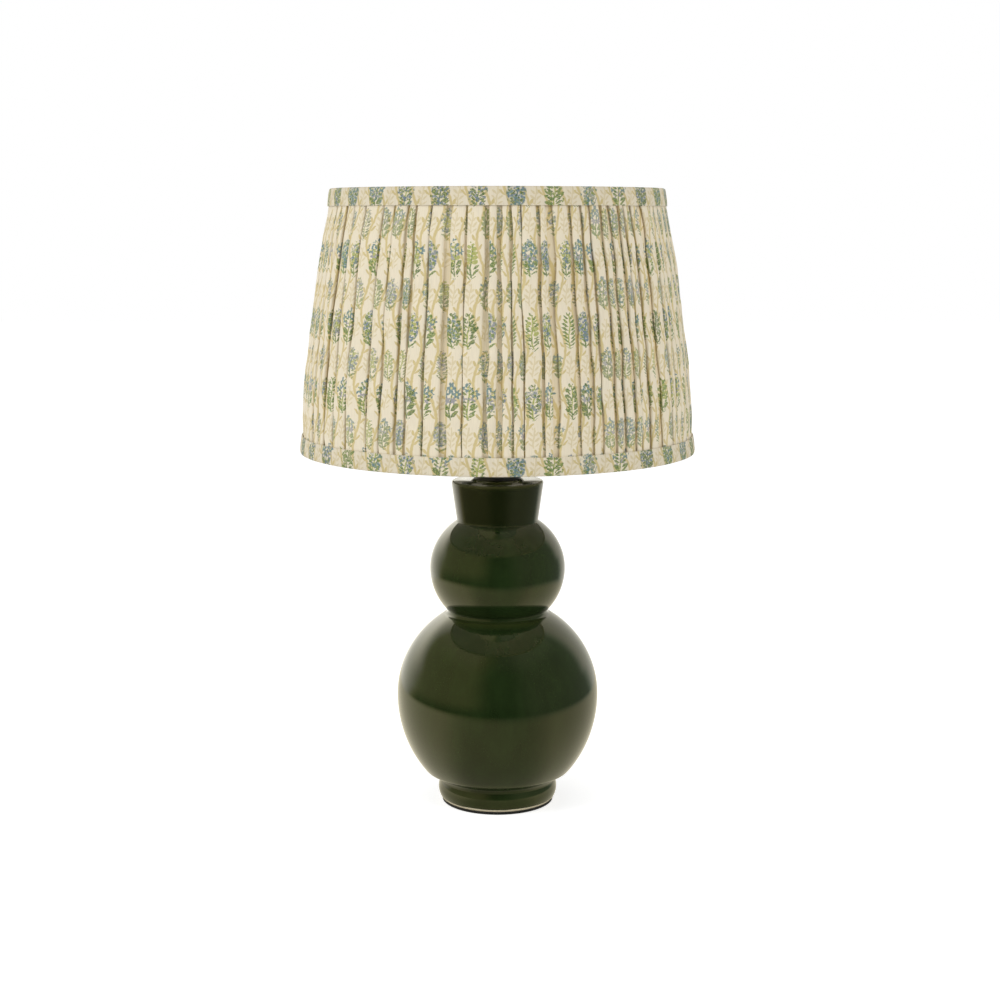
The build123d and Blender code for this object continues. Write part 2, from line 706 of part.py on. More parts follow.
def bulb_outline(inset):
    """Outline of the bulb's glass, moved in by the given amount, from neck to crown."""
    crown_z = bulb_z + bulb_length
    centre_z = crown_z - bulb_radius
    radius = bulb_radius - inset
    neck = bulb_neck_radius - inset
    neck_z = bulb_base_z + bulb_base_height - bulb_neck_depth
    flare_z = neck_z + bulb_neck_depth + bulb_neck_straight
    tangent = radians(bulb_join_angle)
    join = (radius * cos(tangent), centre_z - radius * sin(tangent))
    mid = (neck + (join[0] - neck) * bulb_flare_turn_out,
           flare_z + (join[1] - flare_z) * bulb_flare_turn_up)
    return neck_z, [
        Line((neck, neck_z), (neck, flare_z)),
        ThreePointArc((neck, flare_z), mid, join),
        ThreePointArc(join, (radius, centre_z), (0, centre_z + radius)),
    ]


def bulb_globe():
    """Frosted glass envelope of the bulb."""
    neck_z, outside = bulb_outline(0)
    inner_z, inside = bulb_outline(bulb_glass)
    crown_z = bulb_z + bulb_length
    edges = outside + inside
    edges += [Line((bulb_neck_radius, neck_z), (bulb_neck_radius - bulb_glass, inner_z)),
              Line((0, crown_z), (0, crown_z - bulb_glass))]
    return turned(edges)


# ---------------------------------------------------------------- shade
def shade_radius(z, inset=0.0):
    """Radius of the shade's cone at a level, moved in by the given amount."""
    slope = (shade_bottom_radius - shade_top_radius) / shade_height
    return shade_top_radius + slope * (shade_top_z - z) - inset


fabric_inset = trim_cloth + contact_gap
skin_inset = fabric_inset + pleat_depth
liner_inset = skin_inset + pleat_skin + contact_gap
ring_inset = liner_inset + liner_sheet + ring_wire_radius
rim_width = ring_inset + ring_wire_radius + trim_leg_gap + trim_cloth
edge_room = trim_cloth + contact_gap
top_ring_z = shade_top_z - edge_room - ring_wire_radius
bottom_ring_z = shade_bottom_z + edge_room + ring_wire_radius


def cone_band(inset_out, inset_in, z_low, z_high):
    """Conical wall between two insets and two levels."""
    return turned_points((shade_radius(z_low, inset_in), z_low), (shade_radius(z_low, inset_out), z_low),
                         (shade_radius(z_high, inset_out), z_high), (shade_radius(z_high, inset_in), z_high))


def shade_liner():
    """Stiff translucent cone that the pleats are laid on."""
    return cone_band(liner_inset, liner_inset + liner_sheet,
                     shade_bottom_z + edge_room, shade_top_z - edge_room)


def trim(rim_z, direction):
    """Flat fabric band folded over a rim; direction is -1 for the top rim and 1 for the bottom rim."""
    band_z = rim_z + direction * trim_height
    fold_z = rim_z + direction * trim_cloth
    leg_z = rim_z + direction * trim_leg
    leg_in = rim_width
    leg_out = rim_width - trim_cloth
    return turned_points((shade_radius(rim_z), rim_z), (shade_radius(band_z), band_z),
                         (shade_radius(band_z, trim_cloth), band_z), (shade_radius(fold_z, trim_cloth), fold_z),
                         (shade_radius(fold_z, leg_out), fold_z), (shade_radius(leg_z, leg_out), leg_z),
                         (shade_radius(leg_z, leg_in), leg_z), (shade_radius(rim_z, leg_in), rim_z))


def pleat_angles():
    """Start angle of each pleat, unevenly laid by hand, closing on a full turn."""
    widths = [1 + pleat_width_swing * (sin(2.4 * k) + 0.6 * sin(5.3 * k + 1)) for k in range(pleat_count)]
    full = sum(widths)
    return [2 * pi * sum(widths[:k]) / full for k in range(pleat_count + 1)]


def pleat_ring(z, belly=0.0):
    """Closed outline of the folded cloth at one level: a sunk strip, a step up and a raised crest."""
    low = shade_radius(z, skin_inset)
    high = shade_radius(z, fabric_inset) + belly
    angles = pleat_angles()
    points = []
    for start, end in zip(angles, angles[1:]):
        pitch = end - start
        step = start + pitch * pleat_recess_share
        lip = pitch * pleat_lip_share
        places = [(start + lip, low), (step - lip, low), (step, high - pleat_crest_drop),
                  ((step + end) / 2, high), (end - lip, high - pleat_crest_drop)]
        points += [(r * cos(a), r * sin(a), z) for a, r in places]
    return Wire.make_polygon([Vector(*p) for p in points], close=True)


def pleated_fabric():
    """Printed cloth laid round the cone in knife pleats, held flat by the trims and full between them."""
    z_low = shade_bottom_z + edge_room
    z_high = shade_top_z - edge_room
    free_low = shade_bottom_z + trim_height + contact_gap
    free_high = shade_top_z - trim_height - contact_gap
    rise = (free_high - free_low) * cloth_belly_start
    near = cloth_belly * cloth_belly_rise
    rings = [pleat_ring(z_low), pleat_ring(free_low), pleat_ring(free_low + rise, near),
             pleat_ring((free_low + free_high) / 2, cloth_belly), pleat_ring(free_high - rise, near),
             pleat_ring(free_high), pleat_ring(z_high)]
    folded = Solid.make_loft(rings, ruled=True)
    hollow = turned_points((0, z_low), (shade_radius(z_low, skin_inset + pleat_skin), z_low),
                           (shade_radius(z_high, skin_inset + pleat_skin), z_high), (0, z_high))
    return folded - hollow


def bottom_ring():
    """Wire ring that keeps the bottom rim round."""
    return ring_wire(bottom_ring_z)


def ring_wire(z):
    """Round wire ring lying just inside the liner at one level."""
    radius = shade_radius(z, ring_inset) - contact_gap
    return Pos(0, 0, z) * Torus(radius, ring_wire_radius)


def spider_arm():
    """Wire from the hub out to the top ring, bent up at its outer end."""
    reach = shade_radius(top_ring_z, ring_inset) - contact_gap
    wire_z = spider_z + arm_wire_radius
    start = hub_radius - arm_wire_radius
    path = Plane.XZ * FilletPolyline((start, wire_z), (reach, wire_z), (reach, top_ring_z),
                                     radius=arm_bend_radius)
    end = Plane((start, 0, wire_z), x_dir=(0, 1, 0), z_dir=(1, 0, 0))
    return sweep(end * Circle(arm_wire_radius), path=path)


def spider():
    """Welded top frame of the shade: pierced hub, bent arms and top ring."""
    frame = tube(hub_radius, stud_thread_radius + hub_hole_gap, spider_z, spider_z + hub_thickness)
    frame += ring_wire(top_ring_z)
    for index in range(arm_count):
        frame += Rot(0, 0, 90 + 360 * index / arm_count) * spider_arm()
    return frame


# ---------------------------------------------------------------- finial
def finial():
    """Turned knob that screws on the stud and holds the shade down."""
    low = spider_z + hub_thickness
    base_top = low + finial_base_thickness
    neck_top = base_top + finial_neck_height
    bore = stud_thread_radius + turn_clearance
    bore_top = spider_z + stud_thread_length + finial_bore_spare
    drop = sqrt(finial_ball_radius ** 2 - finial_neck_radius ** 2)
    centre_z = neck_top + drop
    crown_z = centre_z + finial_ball_radius
    waist = (finial_neck_radius - finial_neck_waist, (base_top + neck_top) / 2)
    edge_z = base_top - finial_base_chamfer
    step = (finial_neck_radius + finial_step, base_top)
    outline = [
        Line((bore, low), (finial_base_radius, low)),
        Line((finial_base_radius, low), (finial_base_radius, edge_z)),
        Line((finial_base_radius, edge_z), step),
        ThreePointArc(step, waist, (finial_neck_radius, neck_top)),
        ThreePointArc((finial_neck_radius, neck_top), (finial_ball_radius, centre_z), (0, crown_z)),
        Line((0, crown_z), (0, bore_top)),
        Line((0, bore_top), (bore, bore_top)),
        Line((bore, bore_top), (bore, low)),
    ]
    return turned(outline)


# ---------------------------------------------------------------- writing the pieces
pieces = {
    "base_pad": base_pad,
    "gourd_body": gourd_body,
    "cord_grommet": cord_grommet,
    "threaded_rod": threaded_rod,
    "bottom_washer": bottom_washer,
    "bottom_nut": bottom_nut,
    "neck_gasket": neck_gasket,
    "neck_cap": neck_cap,
    "harp_saddle": harp_saddle,
    "lock_nut": lock_nut,
    "socket_cap": socket_cap,
    "set_screw": set_screw,
    "socket_shell": socket_shell,
    "socket_liner": socket_liner,
    "socket_core": socket_core,
    "terminal_screws": terminal_screws,
    "screw_shell": screw_shell,
    "center_contact": center_contact,
    "switch_shaft": switch_shaft,
    "switch_knob": switch_knob,
    "bulb_base": bulb_base,
    "bulb_insulator": bulb_insulator,
    "bulb_contact": bulb_contact,
    "bulb_globe": bulb_globe,
    "harp": harp,
    "ferrule_left": lambda: ferrule(-1),
    "ferrule_right": lambda: ferrule(1),
    "harp_stud": harp_stud,
    "spider": spider,
    "bottom_ring": bottom_ring,
    "shade_liner": shade_liner,
    "pleated_fabric": pleated_fabric,
    "top_trim": lambda: trim(shade_top_z, -1),
    "bottom_trim": lambda: trim(shade_bottom_z, 1),
    "finial": finial,
}

for name, make in pieces.items():
    made = make()
    solids = [solid for item in (made if isinstance(made, list) else [made]) for solid in item.solids()]
    export_step(Compound(children=solids), f"parts/{name}.step")
    print(name, len(solids), "solid(s)", round(sum(solid.volume for solid in solids)), "mm3")
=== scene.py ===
"""Looks of a double gourd table lamp with a pleated, printed cone shade.

Everything is in metres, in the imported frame: +Z runs up the lamp, -Y is the front and the
origin is the centre of the underside of the base pad.
"""
import logging
import math
import random
from collections.abc import Callable
from dataclasses import dataclass, field

import bmesh
import bpy
from mathutils import Matrix, Vector, geometry, noise


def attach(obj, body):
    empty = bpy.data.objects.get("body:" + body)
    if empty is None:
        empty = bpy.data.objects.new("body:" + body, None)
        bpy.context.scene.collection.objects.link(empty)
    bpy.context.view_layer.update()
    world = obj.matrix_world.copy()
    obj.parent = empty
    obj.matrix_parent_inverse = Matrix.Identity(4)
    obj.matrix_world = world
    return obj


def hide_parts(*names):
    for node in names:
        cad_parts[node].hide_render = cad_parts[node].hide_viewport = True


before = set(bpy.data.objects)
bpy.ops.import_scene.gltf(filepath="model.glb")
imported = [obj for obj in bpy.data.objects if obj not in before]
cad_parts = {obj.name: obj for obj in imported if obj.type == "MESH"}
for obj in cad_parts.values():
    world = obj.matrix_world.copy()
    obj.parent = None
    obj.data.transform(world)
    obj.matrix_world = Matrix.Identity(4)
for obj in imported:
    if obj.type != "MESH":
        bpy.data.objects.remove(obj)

LOG = logging.getLogger("lamp")
MM = 0.001
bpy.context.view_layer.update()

Socket = bpy.types.NodeSocket
Point = tuple[float, float]
Colour = tuple[float, float, float]


def linear(red: int, green: int, blue: int) -> Colour:
    """Turn an 8-bit display colour into the linear values that shaders take.

    Args:
        red: Display red, 0 to 255.
        green: Display green, 0 to 255.
        blue: Display blue, 0 to 255.

    Returns:
        The three linear values.
    """
    values = []
    for part in (red, green, blue):
        share = part / 255
        values.append(share / 12.92 if share <= 0.04045 else ((share + 0.055) / 1.055) ** 2.4)
    return tuple(values)


# ---------------------------------------------------------------- node trees
@dataclass
class Sketch:
    """Shorthand for adding and wiring nodes in one tree."""

    tree: bpy.types.NodeTree

    def add(self, kind: str, **settings: object) -> bpy.types.Node:
        """Add a node and set its properties.

        Args:
            kind: Type of the node, without the ShaderNode prefix.
            settings: Properties of the node.

        Returns:
            The new node.
        """
        node = self.tree.nodes.new("ShaderNode" + kind)
        for key, value in settings.items():
            setattr(node, key, value)
        return node

    def put(self, target: Socket, value: object) -> None:
        """Link a socket to a target, or write a plain value on it.

        Args:
            target: Input socket.
            value: Another socket, a number, or three numbers.
        """
        if isinstance(value, bpy.types.NodeSocket):
            self.tree.links.new(value, target)
        elif target.type == "RGBA" and len(value) == 3:
            target.default_value = (*value, 1.0)
        else:
            target.default_value = value

    def math(self, operation: str, *values: object, clamp: bool = False) -> Socket:
        """Work out a number.

        Args:
            operation: Name of the operation.
            values: Sockets or numbers.
            clamp: Keep the result between 0 and 1.

        Returns:
            The result.
        """
        node = self.add("Math", operation=operation, use_clamp=clamp)
        for target, value in zip(node.inputs, values):
            self.put(target, value)
        return node.outputs[0]

    def vector(self, operation: str, *values: object) -> Socket:
        """Work out a vector.

        Args:
            operation: Name of the operation.
            values: Sockets or triples, and a number for the scale of SCALE.

        Returns:
            The result.
        """
        node = self.add("VectorMath", operation=operation)
        if operation == "SCALE":
            self.put(node.inputs["Vector"], values[0])
            self.put(node.inputs["Scale"], values[1])
        else:
            for target, value in zip(node.inputs, values):
                self.put(target, value)
        return node.outputs["Value"] if operation in ("LENGTH", "DISTANCE") else node.outputs["Vector"]

    def split(self, vector: Socket) -> tuple[Socket, Socket, Socket]:
        """Return the three parts of a vector."""
        node = self.add("SeparateXYZ")
        self.put(node.inputs[0], vector)
        return node.outputs[0], node.outputs[1], node.outputs[2]

    def join(self, x: object = 0.0, y: object = 0.0, z: object = 0.0) -> Socket:
        """Return a vector made of three numbers."""
        node = self.add("CombineXYZ")
        for target, value in zip(node.inputs, (x, y, z)):
            self.put(target, value)
        return node.outputs[0]

    def mix(self, share: object, low: object, high: object, blend: str = "MIX") -> Socket:
        """Mix two colours.

        Args:
            share: How much of the second colour shows.
            low: First colour.
            high: Second colour.
            blend: Way of mixing.

        Returns:
            The mixed colour.
        """
        node = self.add("Mix", data_type="RGBA", blend_type=blend, clamp_factor=True)
        self.put(node.inputs[0], share)
        self.put(node.inputs[6], low)
        self.put(node.inputs[7], high)
        return node.outputs[2]

    def step(self, value: object, start: float, end: float, low: float = 0.0, high: float = 1.0) -> Socket:
        """Ease a number from low to high between two limits.

        Args:
            value: The number.
            start: Where the result is low.
            end: Where the result is high.
            low: Result at the start.
            high: Result at the end.

        Returns:
            The eased number.
        """
        node = self.add("MapRange", interpolation_type="SMOOTHSTEP")
        self.put(node.inputs["Value"], value)
        if start > end:
            start, end, low, high = end, start, high, low
        for name, number in (("From Min", start), ("From Max", end), ("To Min", low), ("To Max", high)):
            node.inputs[name].default_value = number
        return node.outputs["Result"]

    def cloud(self, vector: object, scale: float, detail: float = 2.0, roughness: float = 0.5) -> Socket:
        """Return a soft random value, about 0.5 on average, over a vector."""
        node = self.add("TexNoise")
        self.put(node.inputs["Vector"], vector)
        node.inputs["Scale"].default_value = scale
        node.inputs["Detail"].default_value = detail
        node.inputs["Roughness"].default_value = roughness
        return node.outputs["Fac"]

    def ramp(self, value: Socket, stops: list[tuple[float, Colour]]) -> Socket:
        """Look a number up in a colour ramp.

        Args:
            value: The number, 0 to 1.
            stops: Place and colour of each stop.

        Returns:
            The colour.
        """
        node = self.add("ValToRGB")
        node.color_ramp.interpolation = "EASE"
        while len(node.color_ramp.elements) < len(stops):
            node.color_ramp.elements.new(1.0)
        for element, (place, colour) in zip(node.color_ramp.elements, stops):
            element.position = place
            element.color = (*colour, 1.0)
        self.put(node.inputs[0], value)
        return node.outputs[0]

    def use(self, group: bpy.types.NodeTree, **inputs: object) -> bpy.types.Node:
        """Place a shared node group.

        Args:
            group: The group.
            inputs: Values or sockets for its named inputs, with _ for a space.

        Returns:
            The group's node.
        """
        node = self.add("Group")
        node.node_tree = group
        for name, value in inputs.items():
            self.put(node.inputs[name.replace("_", " ")], value)
        return node


class SharedEffect:
    """A node group with named inputs and outputs, built once and placed in each material."""

    made: dict[str, bpy.types.NodeTree] = {}

    @classmethod
    def group(cls) -> bpy.types.NodeTree:
        """Return the group, building it the first time."""
        if cls.__name__ not in SharedEffect.made:
            tree = bpy.data.node_groups.new(cls.__name__, "ShaderNodeTree")
            SharedEffect.made[cls.__name__] = tree
            cls.build(Sketch(tree))
        return SharedEffect.made[cls.__name__]

    @staticmethod
    def socket(sketch: Sketch, name: str, kind: str, output: bool = False, value: object = None) -> None:
        """Declare one socket of the group.

        Args:
            sketch: The group being built.
            name: Name of the socket.
            kind: Float, Vector or Color.
            output: True for an output.
            value: Default value.
        """
        made = sketch.tree.interface.new_socket(
            name=name, in_out="OUTPUT" if output else "INPUT", socket_type="NodeSocket" + kind)
        if value is not None:
            made.default_value = value

    @classmethod
    def build(cls, sketch: Sketch) -> None:
        """Build the group's nodes."""
        raise NotImplementedError


class FineGrain(SharedEffect):
    """Small random unevenness of a finish: a colour share, a roughness share and a height."""

    @classmethod
    def build(cls, sketch: Sketch) -> None:
        """Build the grain from a coarse and a fine cloud."""
        cls.socket(sketch, "Coarse", "Float", value=40.0)
        cls.socket(sketch, "Fine", "Float", value=600.0)
        cls.socket(sketch, "Tone", "Float", output=True)
        cls.socket(sketch, "Polish", "Float", output=True)
        cls.socket(sketch, "Height", "Float", output=True)
        entry = sketch.tree.nodes.new("NodeGroupInput")
        leave = sketch.tree.nodes.new("NodeGroupOutput")
        place = sketch.add("TexCoord").outputs["Object"]
        coarse = sketch.cloud(sketch.vector("SCALE", place, entry.outputs["Coarse"]), 1.0, 4.0, 0.6)
        fine = sketch.cloud(sketch.vector("SCALE", place, entry.outputs["Fine"]), 1.0, 3.0, 0.6)
        sketch.put(leave.inputs["Tone"], coarse)
        sketch.put(leave.inputs["Polish"], sketch.math("MULTIPLY", coarse, fine))
        sketch.put(leave.inputs["Height"], fine)


class PlainWeave(SharedEffect):
    """Over and under of fine threads on a cloth's own map, as a height and a tone: a random slub, darker between the
    threads as painted shade.
    """

    @classmethod
    def build(cls, sketch: Sketch) -> None:
        """Build two crossed sets of threads that show in turn."""
        cls.socket(sketch, "Map", "Vector")
        cls.socket(sketch, "Threads", "Float", value=1800.0)
        cls.socket(sketch, "Tone", "Float", output=True)
        cls.socket(sketch, "Height", "Float", output=True)
        entry = sketch.tree.nodes.new("NodeGroupInput")
        leave = sketch.tree.nodes.new("NodeGroupOutput")
        place = sketch.vector("SCALE", entry.outputs["Map"], entry.outputs["Threads"])
        across, along, _ = sketch.split(place)
        warp = sketch.math("ABSOLUTE", sketch.math("SINE", sketch.math("MULTIPLY", across, math.pi)))
        weft = sketch.math("ABSOLUTE", sketch.math("SINE", sketch.math("MULTIPLY", along, math.pi)))
        order = sketch.math("ADD", sketch.math("FLOOR", across), sketch.math("FLOOR", along))
        over = sketch.math("MODULO", sketch.math("ABSOLUTE", order), 2.0)
        under = sketch.math("SUBTRACT", 1.0, over)
        height = sketch.math("ADD", sketch.math("MULTIPLY", warp, over), sketch.math("MULTIPLY", weft, under))
        slub = sketch.cloud(sketch.vector("MULTIPLY", place, (0.9, 0.05, 1.0)), 1.0, 2.0, 0.6)
        sketch.put(leave.inputs["Height"], height)
        # Painted shade: the tone drops to 0.82 where the threads dip, between them.
        sketch.put(leave.inputs["Tone"], sketch.math("MULTIPLY", slub, sketch.step(height, 0.0, 1.0, 0.82, 1.0)))


class LeafPairs(SharedEffect):
    """Mask of leaves set in pairs up a stem; the point is in millimetres from the middle of the sprig."""

    @classmethod
    def build(cls, sketch: Sketch) -> None:
        """Build one leaf and repeat it up the stem on both sides."""
        cls.socket(sketch, "Point", "Vector")
        for name, value in (("Spacing", 3.6), ("Length", 2.4), ("Width", 0.95), ("Lean", 0.66),
                            ("Offset", 2.6), ("Reach", 9.0), ("Stagger", 0.0)):
            cls.socket(sketch, name, "Float", value=value)
        cls.socket(sketch, "Mask", "Float", output=True)
        entry = sketch.tree.nodes.new("NodeGroupInput")
        leave = sketch.tree.nodes.new("NodeGroupOutput")
        part = entry.outputs
        x, y, _ = sketch.split(part["Point"])
        side = sketch.math("MULTIPLY", sketch.math("SIGN", x), part["Stagger"])
        lifted = sketch.math("ADD", y, side)
        turn = sketch.math("DIVIDE", sketch.math("ADD", lifted, 40.0), part["Spacing"])
        local_y = sketch.math("MULTIPLY", sketch.math("SUBTRACT", sketch.math("FRACT", turn), 0.5), part["Spacing"])
        share = sketch.math("DIVIDE", y, part["Reach"])
        taper = sketch.math("SUBTRACT", 1.0, sketch.math("POWER", sketch.math("ABSOLUTE", share), 3.0), clamp=True)
        local_x = sketch.math("SUBTRACT", sketch.math("ABSOLUTE", x), sketch.math("MULTIPLY", part["Offset"], taper))
        cosine, sine = sketch.math("COSINE", part["Lean"]), sketch.math("SINE", part["Lean"])
        along = sketch.math("ADD", sketch.math("MULTIPLY", local_x, cosine), sketch.math("MULTIPLY", local_y, sine))
        across = sketch.math("SUBTRACT", sketch.math("MULTIPLY", local_y, cosine),
                             sketch.math("MULTIPLY", local_x, sine))
        long = sketch.math("DIVIDE", along, sketch.math("MULTIPLY", part["Length"], taper))
        wide = sketch.math("DIVIDE", across, sketch.math("MULTIPLY", part["Width"], taper))
        far = sketch.math("ADD", sketch.math("MULTIPLY", long, long), sketch.math("MULTIPLY", wide, wide))
        leaf = sketch.step(far, 1.15, 0.8)
        inside = sketch.step(taper, 0.0, 0.12)
        sketch.put(leave.inputs["Mask"], sketch.math("MULTIPLY", leaf, inside))


class SprigPrint(SharedEffect):
    """Small generic sprigs on cream between winding straw vines.

    The map is in metres of cloth.  Two sets of sprigs stand half a repeat apart, picked and coloured
    at random, with a straw twig between one sprig and the next above it.
    """

    repeat_width = 24.5
    repeat_height = 44.8
    cream = linear(236, 225, 200)
    straw = linear(215, 196, 138)
    leaf = linear(104, 132, 72)
    deep_leaf = linear(76, 102, 66)
    teal = linear(106, 136, 138)
    blue = linear(112, 130, 146)
    mist = linear(152, 152, 156)
    lime = linear(172, 176, 98)
    yellow = linear(222, 210, 140)

    @classmethod
    def build(cls, sketch: Sketch) -> None:
        """Build the vines, the twigs and the two sets of sprigs."""
        cls.socket(sketch, "Map", "Vector")
        cls.socket(sketch, "Color", "Color", output=True)
        cls.socket(sketch, "Ink", "Float", output=True)
        entry = sketch.tree.nodes.new("NodeGroupInput")
        leave = sketch.tree.nodes.new("NodeGroupOutput")
        flat = sketch.vector("SCALE", entry.outputs["Map"], 1 / MM)
        shake = sketch.add("TexNoise")
        sketch.put(shake.inputs["Vector"], flat)
        shake.inputs["Scale"].default_value = 0.35
        bend = sketch.vector("SCALE", sketch.vector("SUBTRACT", shake.outputs["Color"], (0.5, 0.5, 0.5)), 1.6)
        flat = sketch.vector("ADD", flat, bend)
        colour = cls.vines(sketch, flat)
        ink = None
        for shift, scale, seed, body in (((0.5, 0.5, 0.0), 1.02, 11.3, 0.8), ((0.0, 0.0, 0.0), 0.9, 3.7, 1.0)):
            colour, mask = cls.sprigs(sketch, flat, colour, shift, scale, seed, body)
            ink = mask if ink is None else sketch.math("MAXIMUM", ink, mask)
        sketch.put(leave.inputs["Color"], colour)
        sketch.put(leave.inputs["Ink"], ink)

    @classmethod
    def cell(cls, sketch: Sketch, flat: Socket, shift: Colour, scale: float) -> tuple[Socket, Socket]:
        """Find the place inside a repeat.

        Args:
            sketch: The group being built.
            flat: Place on the cloth in millimetres.
            shift: Place of the repeats, as a share of one.
            scale: How many times smaller things are drawn.

        Returns:
            The repeat's number, and the place from its middle.
        """
        cells = sketch.vector("DIVIDE", flat, (cls.repeat_width, cls.repeat_height, 1.0))
        cells = sketch.vector("ADD", cells, shift)
        local = sketch.vector("SUBTRACT", sketch.vector("FRACTION", cells), (0.5, 0.5, 0.0))
        local = sketch.vector("MULTIPLY", local, (cls.repeat_width * scale, cls.repeat_height * scale, 0.0))
        return sketch.vector("FLOOR", cells), local

    @classmethod
    def vines(cls, sketch: Sketch, flat: Socket) -> Socket:
        """Draw the straw vines that wind side by side up the cloth, and the twigs between them.

        Args:
            sketch: The group being built.
            flat: Place on the cloth in millimetres.

        Returns:
            Colour of the ground with the vines.
        """
        x, y, _ = sketch.split(flat)
        gap = cls.repeat_width / 2
        wave = sketch.math("SINE", sketch.math("MULTIPLY", y, 2 * math.pi / cls.repeat_height))
        place = sketch.math("DIVIDE", sketch.math("SUBTRACT", x, sketch.math("MULTIPLY", wave, 2.6)), gap)
        off = sketch.math("MULTIPLY", sketch.math("SUBTRACT", sketch.math("FRACT", place), 0.5), gap)
        vine = sketch.step(sketch.math("ABSOLUTE", off), 1.35, 0.55)
        leaflets = sketch.use(LeafPairs.group(), Point=sketch.join(off, y), Spacing=11.2, Length=2.2,
                              Width=0.8, Lean=0.9, Offset=2.3, Reach=4000.0, Stagger=2.8)
        vine = sketch.math("MAXIMUM", vine, leaflets.outputs["Mask"])
        for shift in ((0.0, 0.5, 0.0), (0.5, 0.0, 0.0)):
            _, local = cls.cell(sketch, flat, shift, 1.0)
            twig = sketch.use(LeafPairs.group(), Point=local, Spacing=3.7, Length=2.2, Width=0.7, Lean=0.75,
                              Offset=2.0, Reach=7.5)
            twig = sketch.math("MAXIMUM", twig.outputs["Mask"], cls.stem(sketch, local, -7.0, 6.5, 0.4))
            vine = sketch.math("MAXIMUM", vine, sketch.math("MULTIPLY", twig, 0.55))
        tone = sketch.cloud(flat, 0.25, 3.0)
        straw = sketch.mix(tone, cls.straw, tuple(c * 0.88 for c in cls.straw))
        ground = sketch.mix(sketch.cloud(flat, 0.08, 2.0), cls.cream, tuple(c * 0.95 for c in cls.cream))
        return sketch.mix(sketch.math("MULTIPLY", vine, 0.9), ground, straw)

    @classmethod
    def sprigs(cls, sketch: Sketch, flat: Socket, ground: Socket, shift: Colour, scale: float,
               seed: float, body: float) -> tuple[Socket, Socket]:
        """Draw one sprig in each repeat.

        Args:
            sketch: The group being built.
            flat: Place on the cloth in millimetres.
            ground: Colour under the sprigs.
            shift: Place of the sprigs as a share of the repeat.
            scale: How many times smaller the sprigs are than drawn.
            seed: Picks another order of sprigs.
            body: How well the ink covers the ground.

        Returns:
            The colour with the sprigs, and their mask.
        """
        number, local = cls.cell(sketch, flat, shift, scale)
        dice = sketch.add("TexWhiteNoise", noise_dimensions="3D")
        sketch.put(dice.inputs["Vector"], sketch.vector("ADD", number, (seed, seed * 2, seed * 3)))
        pick, tint = dice.outputs["Value"], dice.outputs["Color"]
        hue, shade, _ = sketch.split(tint)
        bloom = sketch.mix(sketch.step(hue, 0.3, 0.36), cls.blue, cls.teal)
        bloom = sketch.mix(sketch.step(hue, 0.6, 0.66), bloom, cls.mist)
        bloom = sketch.mix(sketch.step(hue, 0.86, 0.9), bloom, cls.lime)
        green = sketch.mix(shade, cls.leaf, cls.deep_leaf)
        mottle = sketch.cloud(flat, 0.9, 2.0)
        green = sketch.mix(sketch.step(mottle, 0.4, 0.75), green, cls.lime)
        wash = sketch.step(sketch.cloud(flat, 1.3, 2.0), 0.3, 0.65, body * 0.74, body)
        kinds = (cls.leaf_sprig, cls.berry_bush, cls.flower_stem, cls.berry_bush, cls.feather_fern,
                 cls.flower_spike)
        colour, ink = ground, None
        for index, kind in enumerate(kinds):
            low, high = index / len(kinds), (index + 1) / len(kinds)
            chosen = sketch.math("MULTIPLY", sketch.math("GREATER_THAN", pick, low),
                                 sketch.math("LESS_THAN", pick, high + 0.0001))
            for mask, paint in kind(sketch, local, green, bloom):
                mask = sketch.math("MULTIPLY", mask, chosen)
                colour = sketch.mix(sketch.math("MULTIPLY", mask, wash), colour, paint)
                ink = mask if ink is None else sketch.math("MAXIMUM", ink, mask)
        return colour, ink

    @classmethod
    def stem(cls, sketch: Sketch, local: Socket, low: float, high: float, half: float = 0.42) -> Socket:
        """Return the mask of a slightly bent upright stem."""
        x, y, _ = sketch.split(local)
        sway = sketch.math("MULTIPLY", sketch.math("SINE", sketch.math("MULTIPLY", y, 0.33)), 0.7)
        line = sketch.step(sketch.math("ABSOLUTE", sketch.math("SUBTRACT", x, sway)), half + 0.25, half - 0.1)
        span = sketch.math("MULTIPLY", sketch.step(y, low, low + 0.6), sketch.step(y, high, high - 0.6))
        return sketch.math("MULTIPLY", line, span)

    @classmethod
    def disc(cls, sketch: Sketch, local: Socket, place: Point, radius: float, lobes: int = 0) -> Socket:
        """Return the mask of a round or lobed spot, mirrored to both sides of the stem."""
        x, y, _ = sketch.split(local)
        across = sketch.math("SUBTRACT", sketch.math("ABSOLUTE", x), place[0])
        up = sketch.math("SUBTRACT", y, place[1])
        far = sketch.vector("LENGTH", sketch.join(across, up))
        edge: object = radius
        if lobes:
            angle = sketch.math("ARCTAN2", up, across)
            wave = sketch.math("COSINE", sketch.math("MULTIPLY", angle, float(lobes)))
            edge = sketch.math("ADD", sketch.math("MULTIPLY", wave, radius * 0.26), radius * 0.86)
        return sketch.step(sketch.math("SUBTRACT", far, edge), 0.22, -0.12)

    @classmethod
    def leaf_sprig(cls, sketch: Sketch, local: Socket, green: Socket, bloom: Socket) -> list[tuple]:
        """Stem with staggered leaves."""
        leaves = sketch.use(LeafPairs.group(), Point=local, Stagger=0.9, Reach=11.0, Length=3.5, Width=1.75,
                            Offset=3.1)
        return [(cls.stem(sketch, local, -10.5, 9.5), green), (leaves.outputs["Mask"], green)]

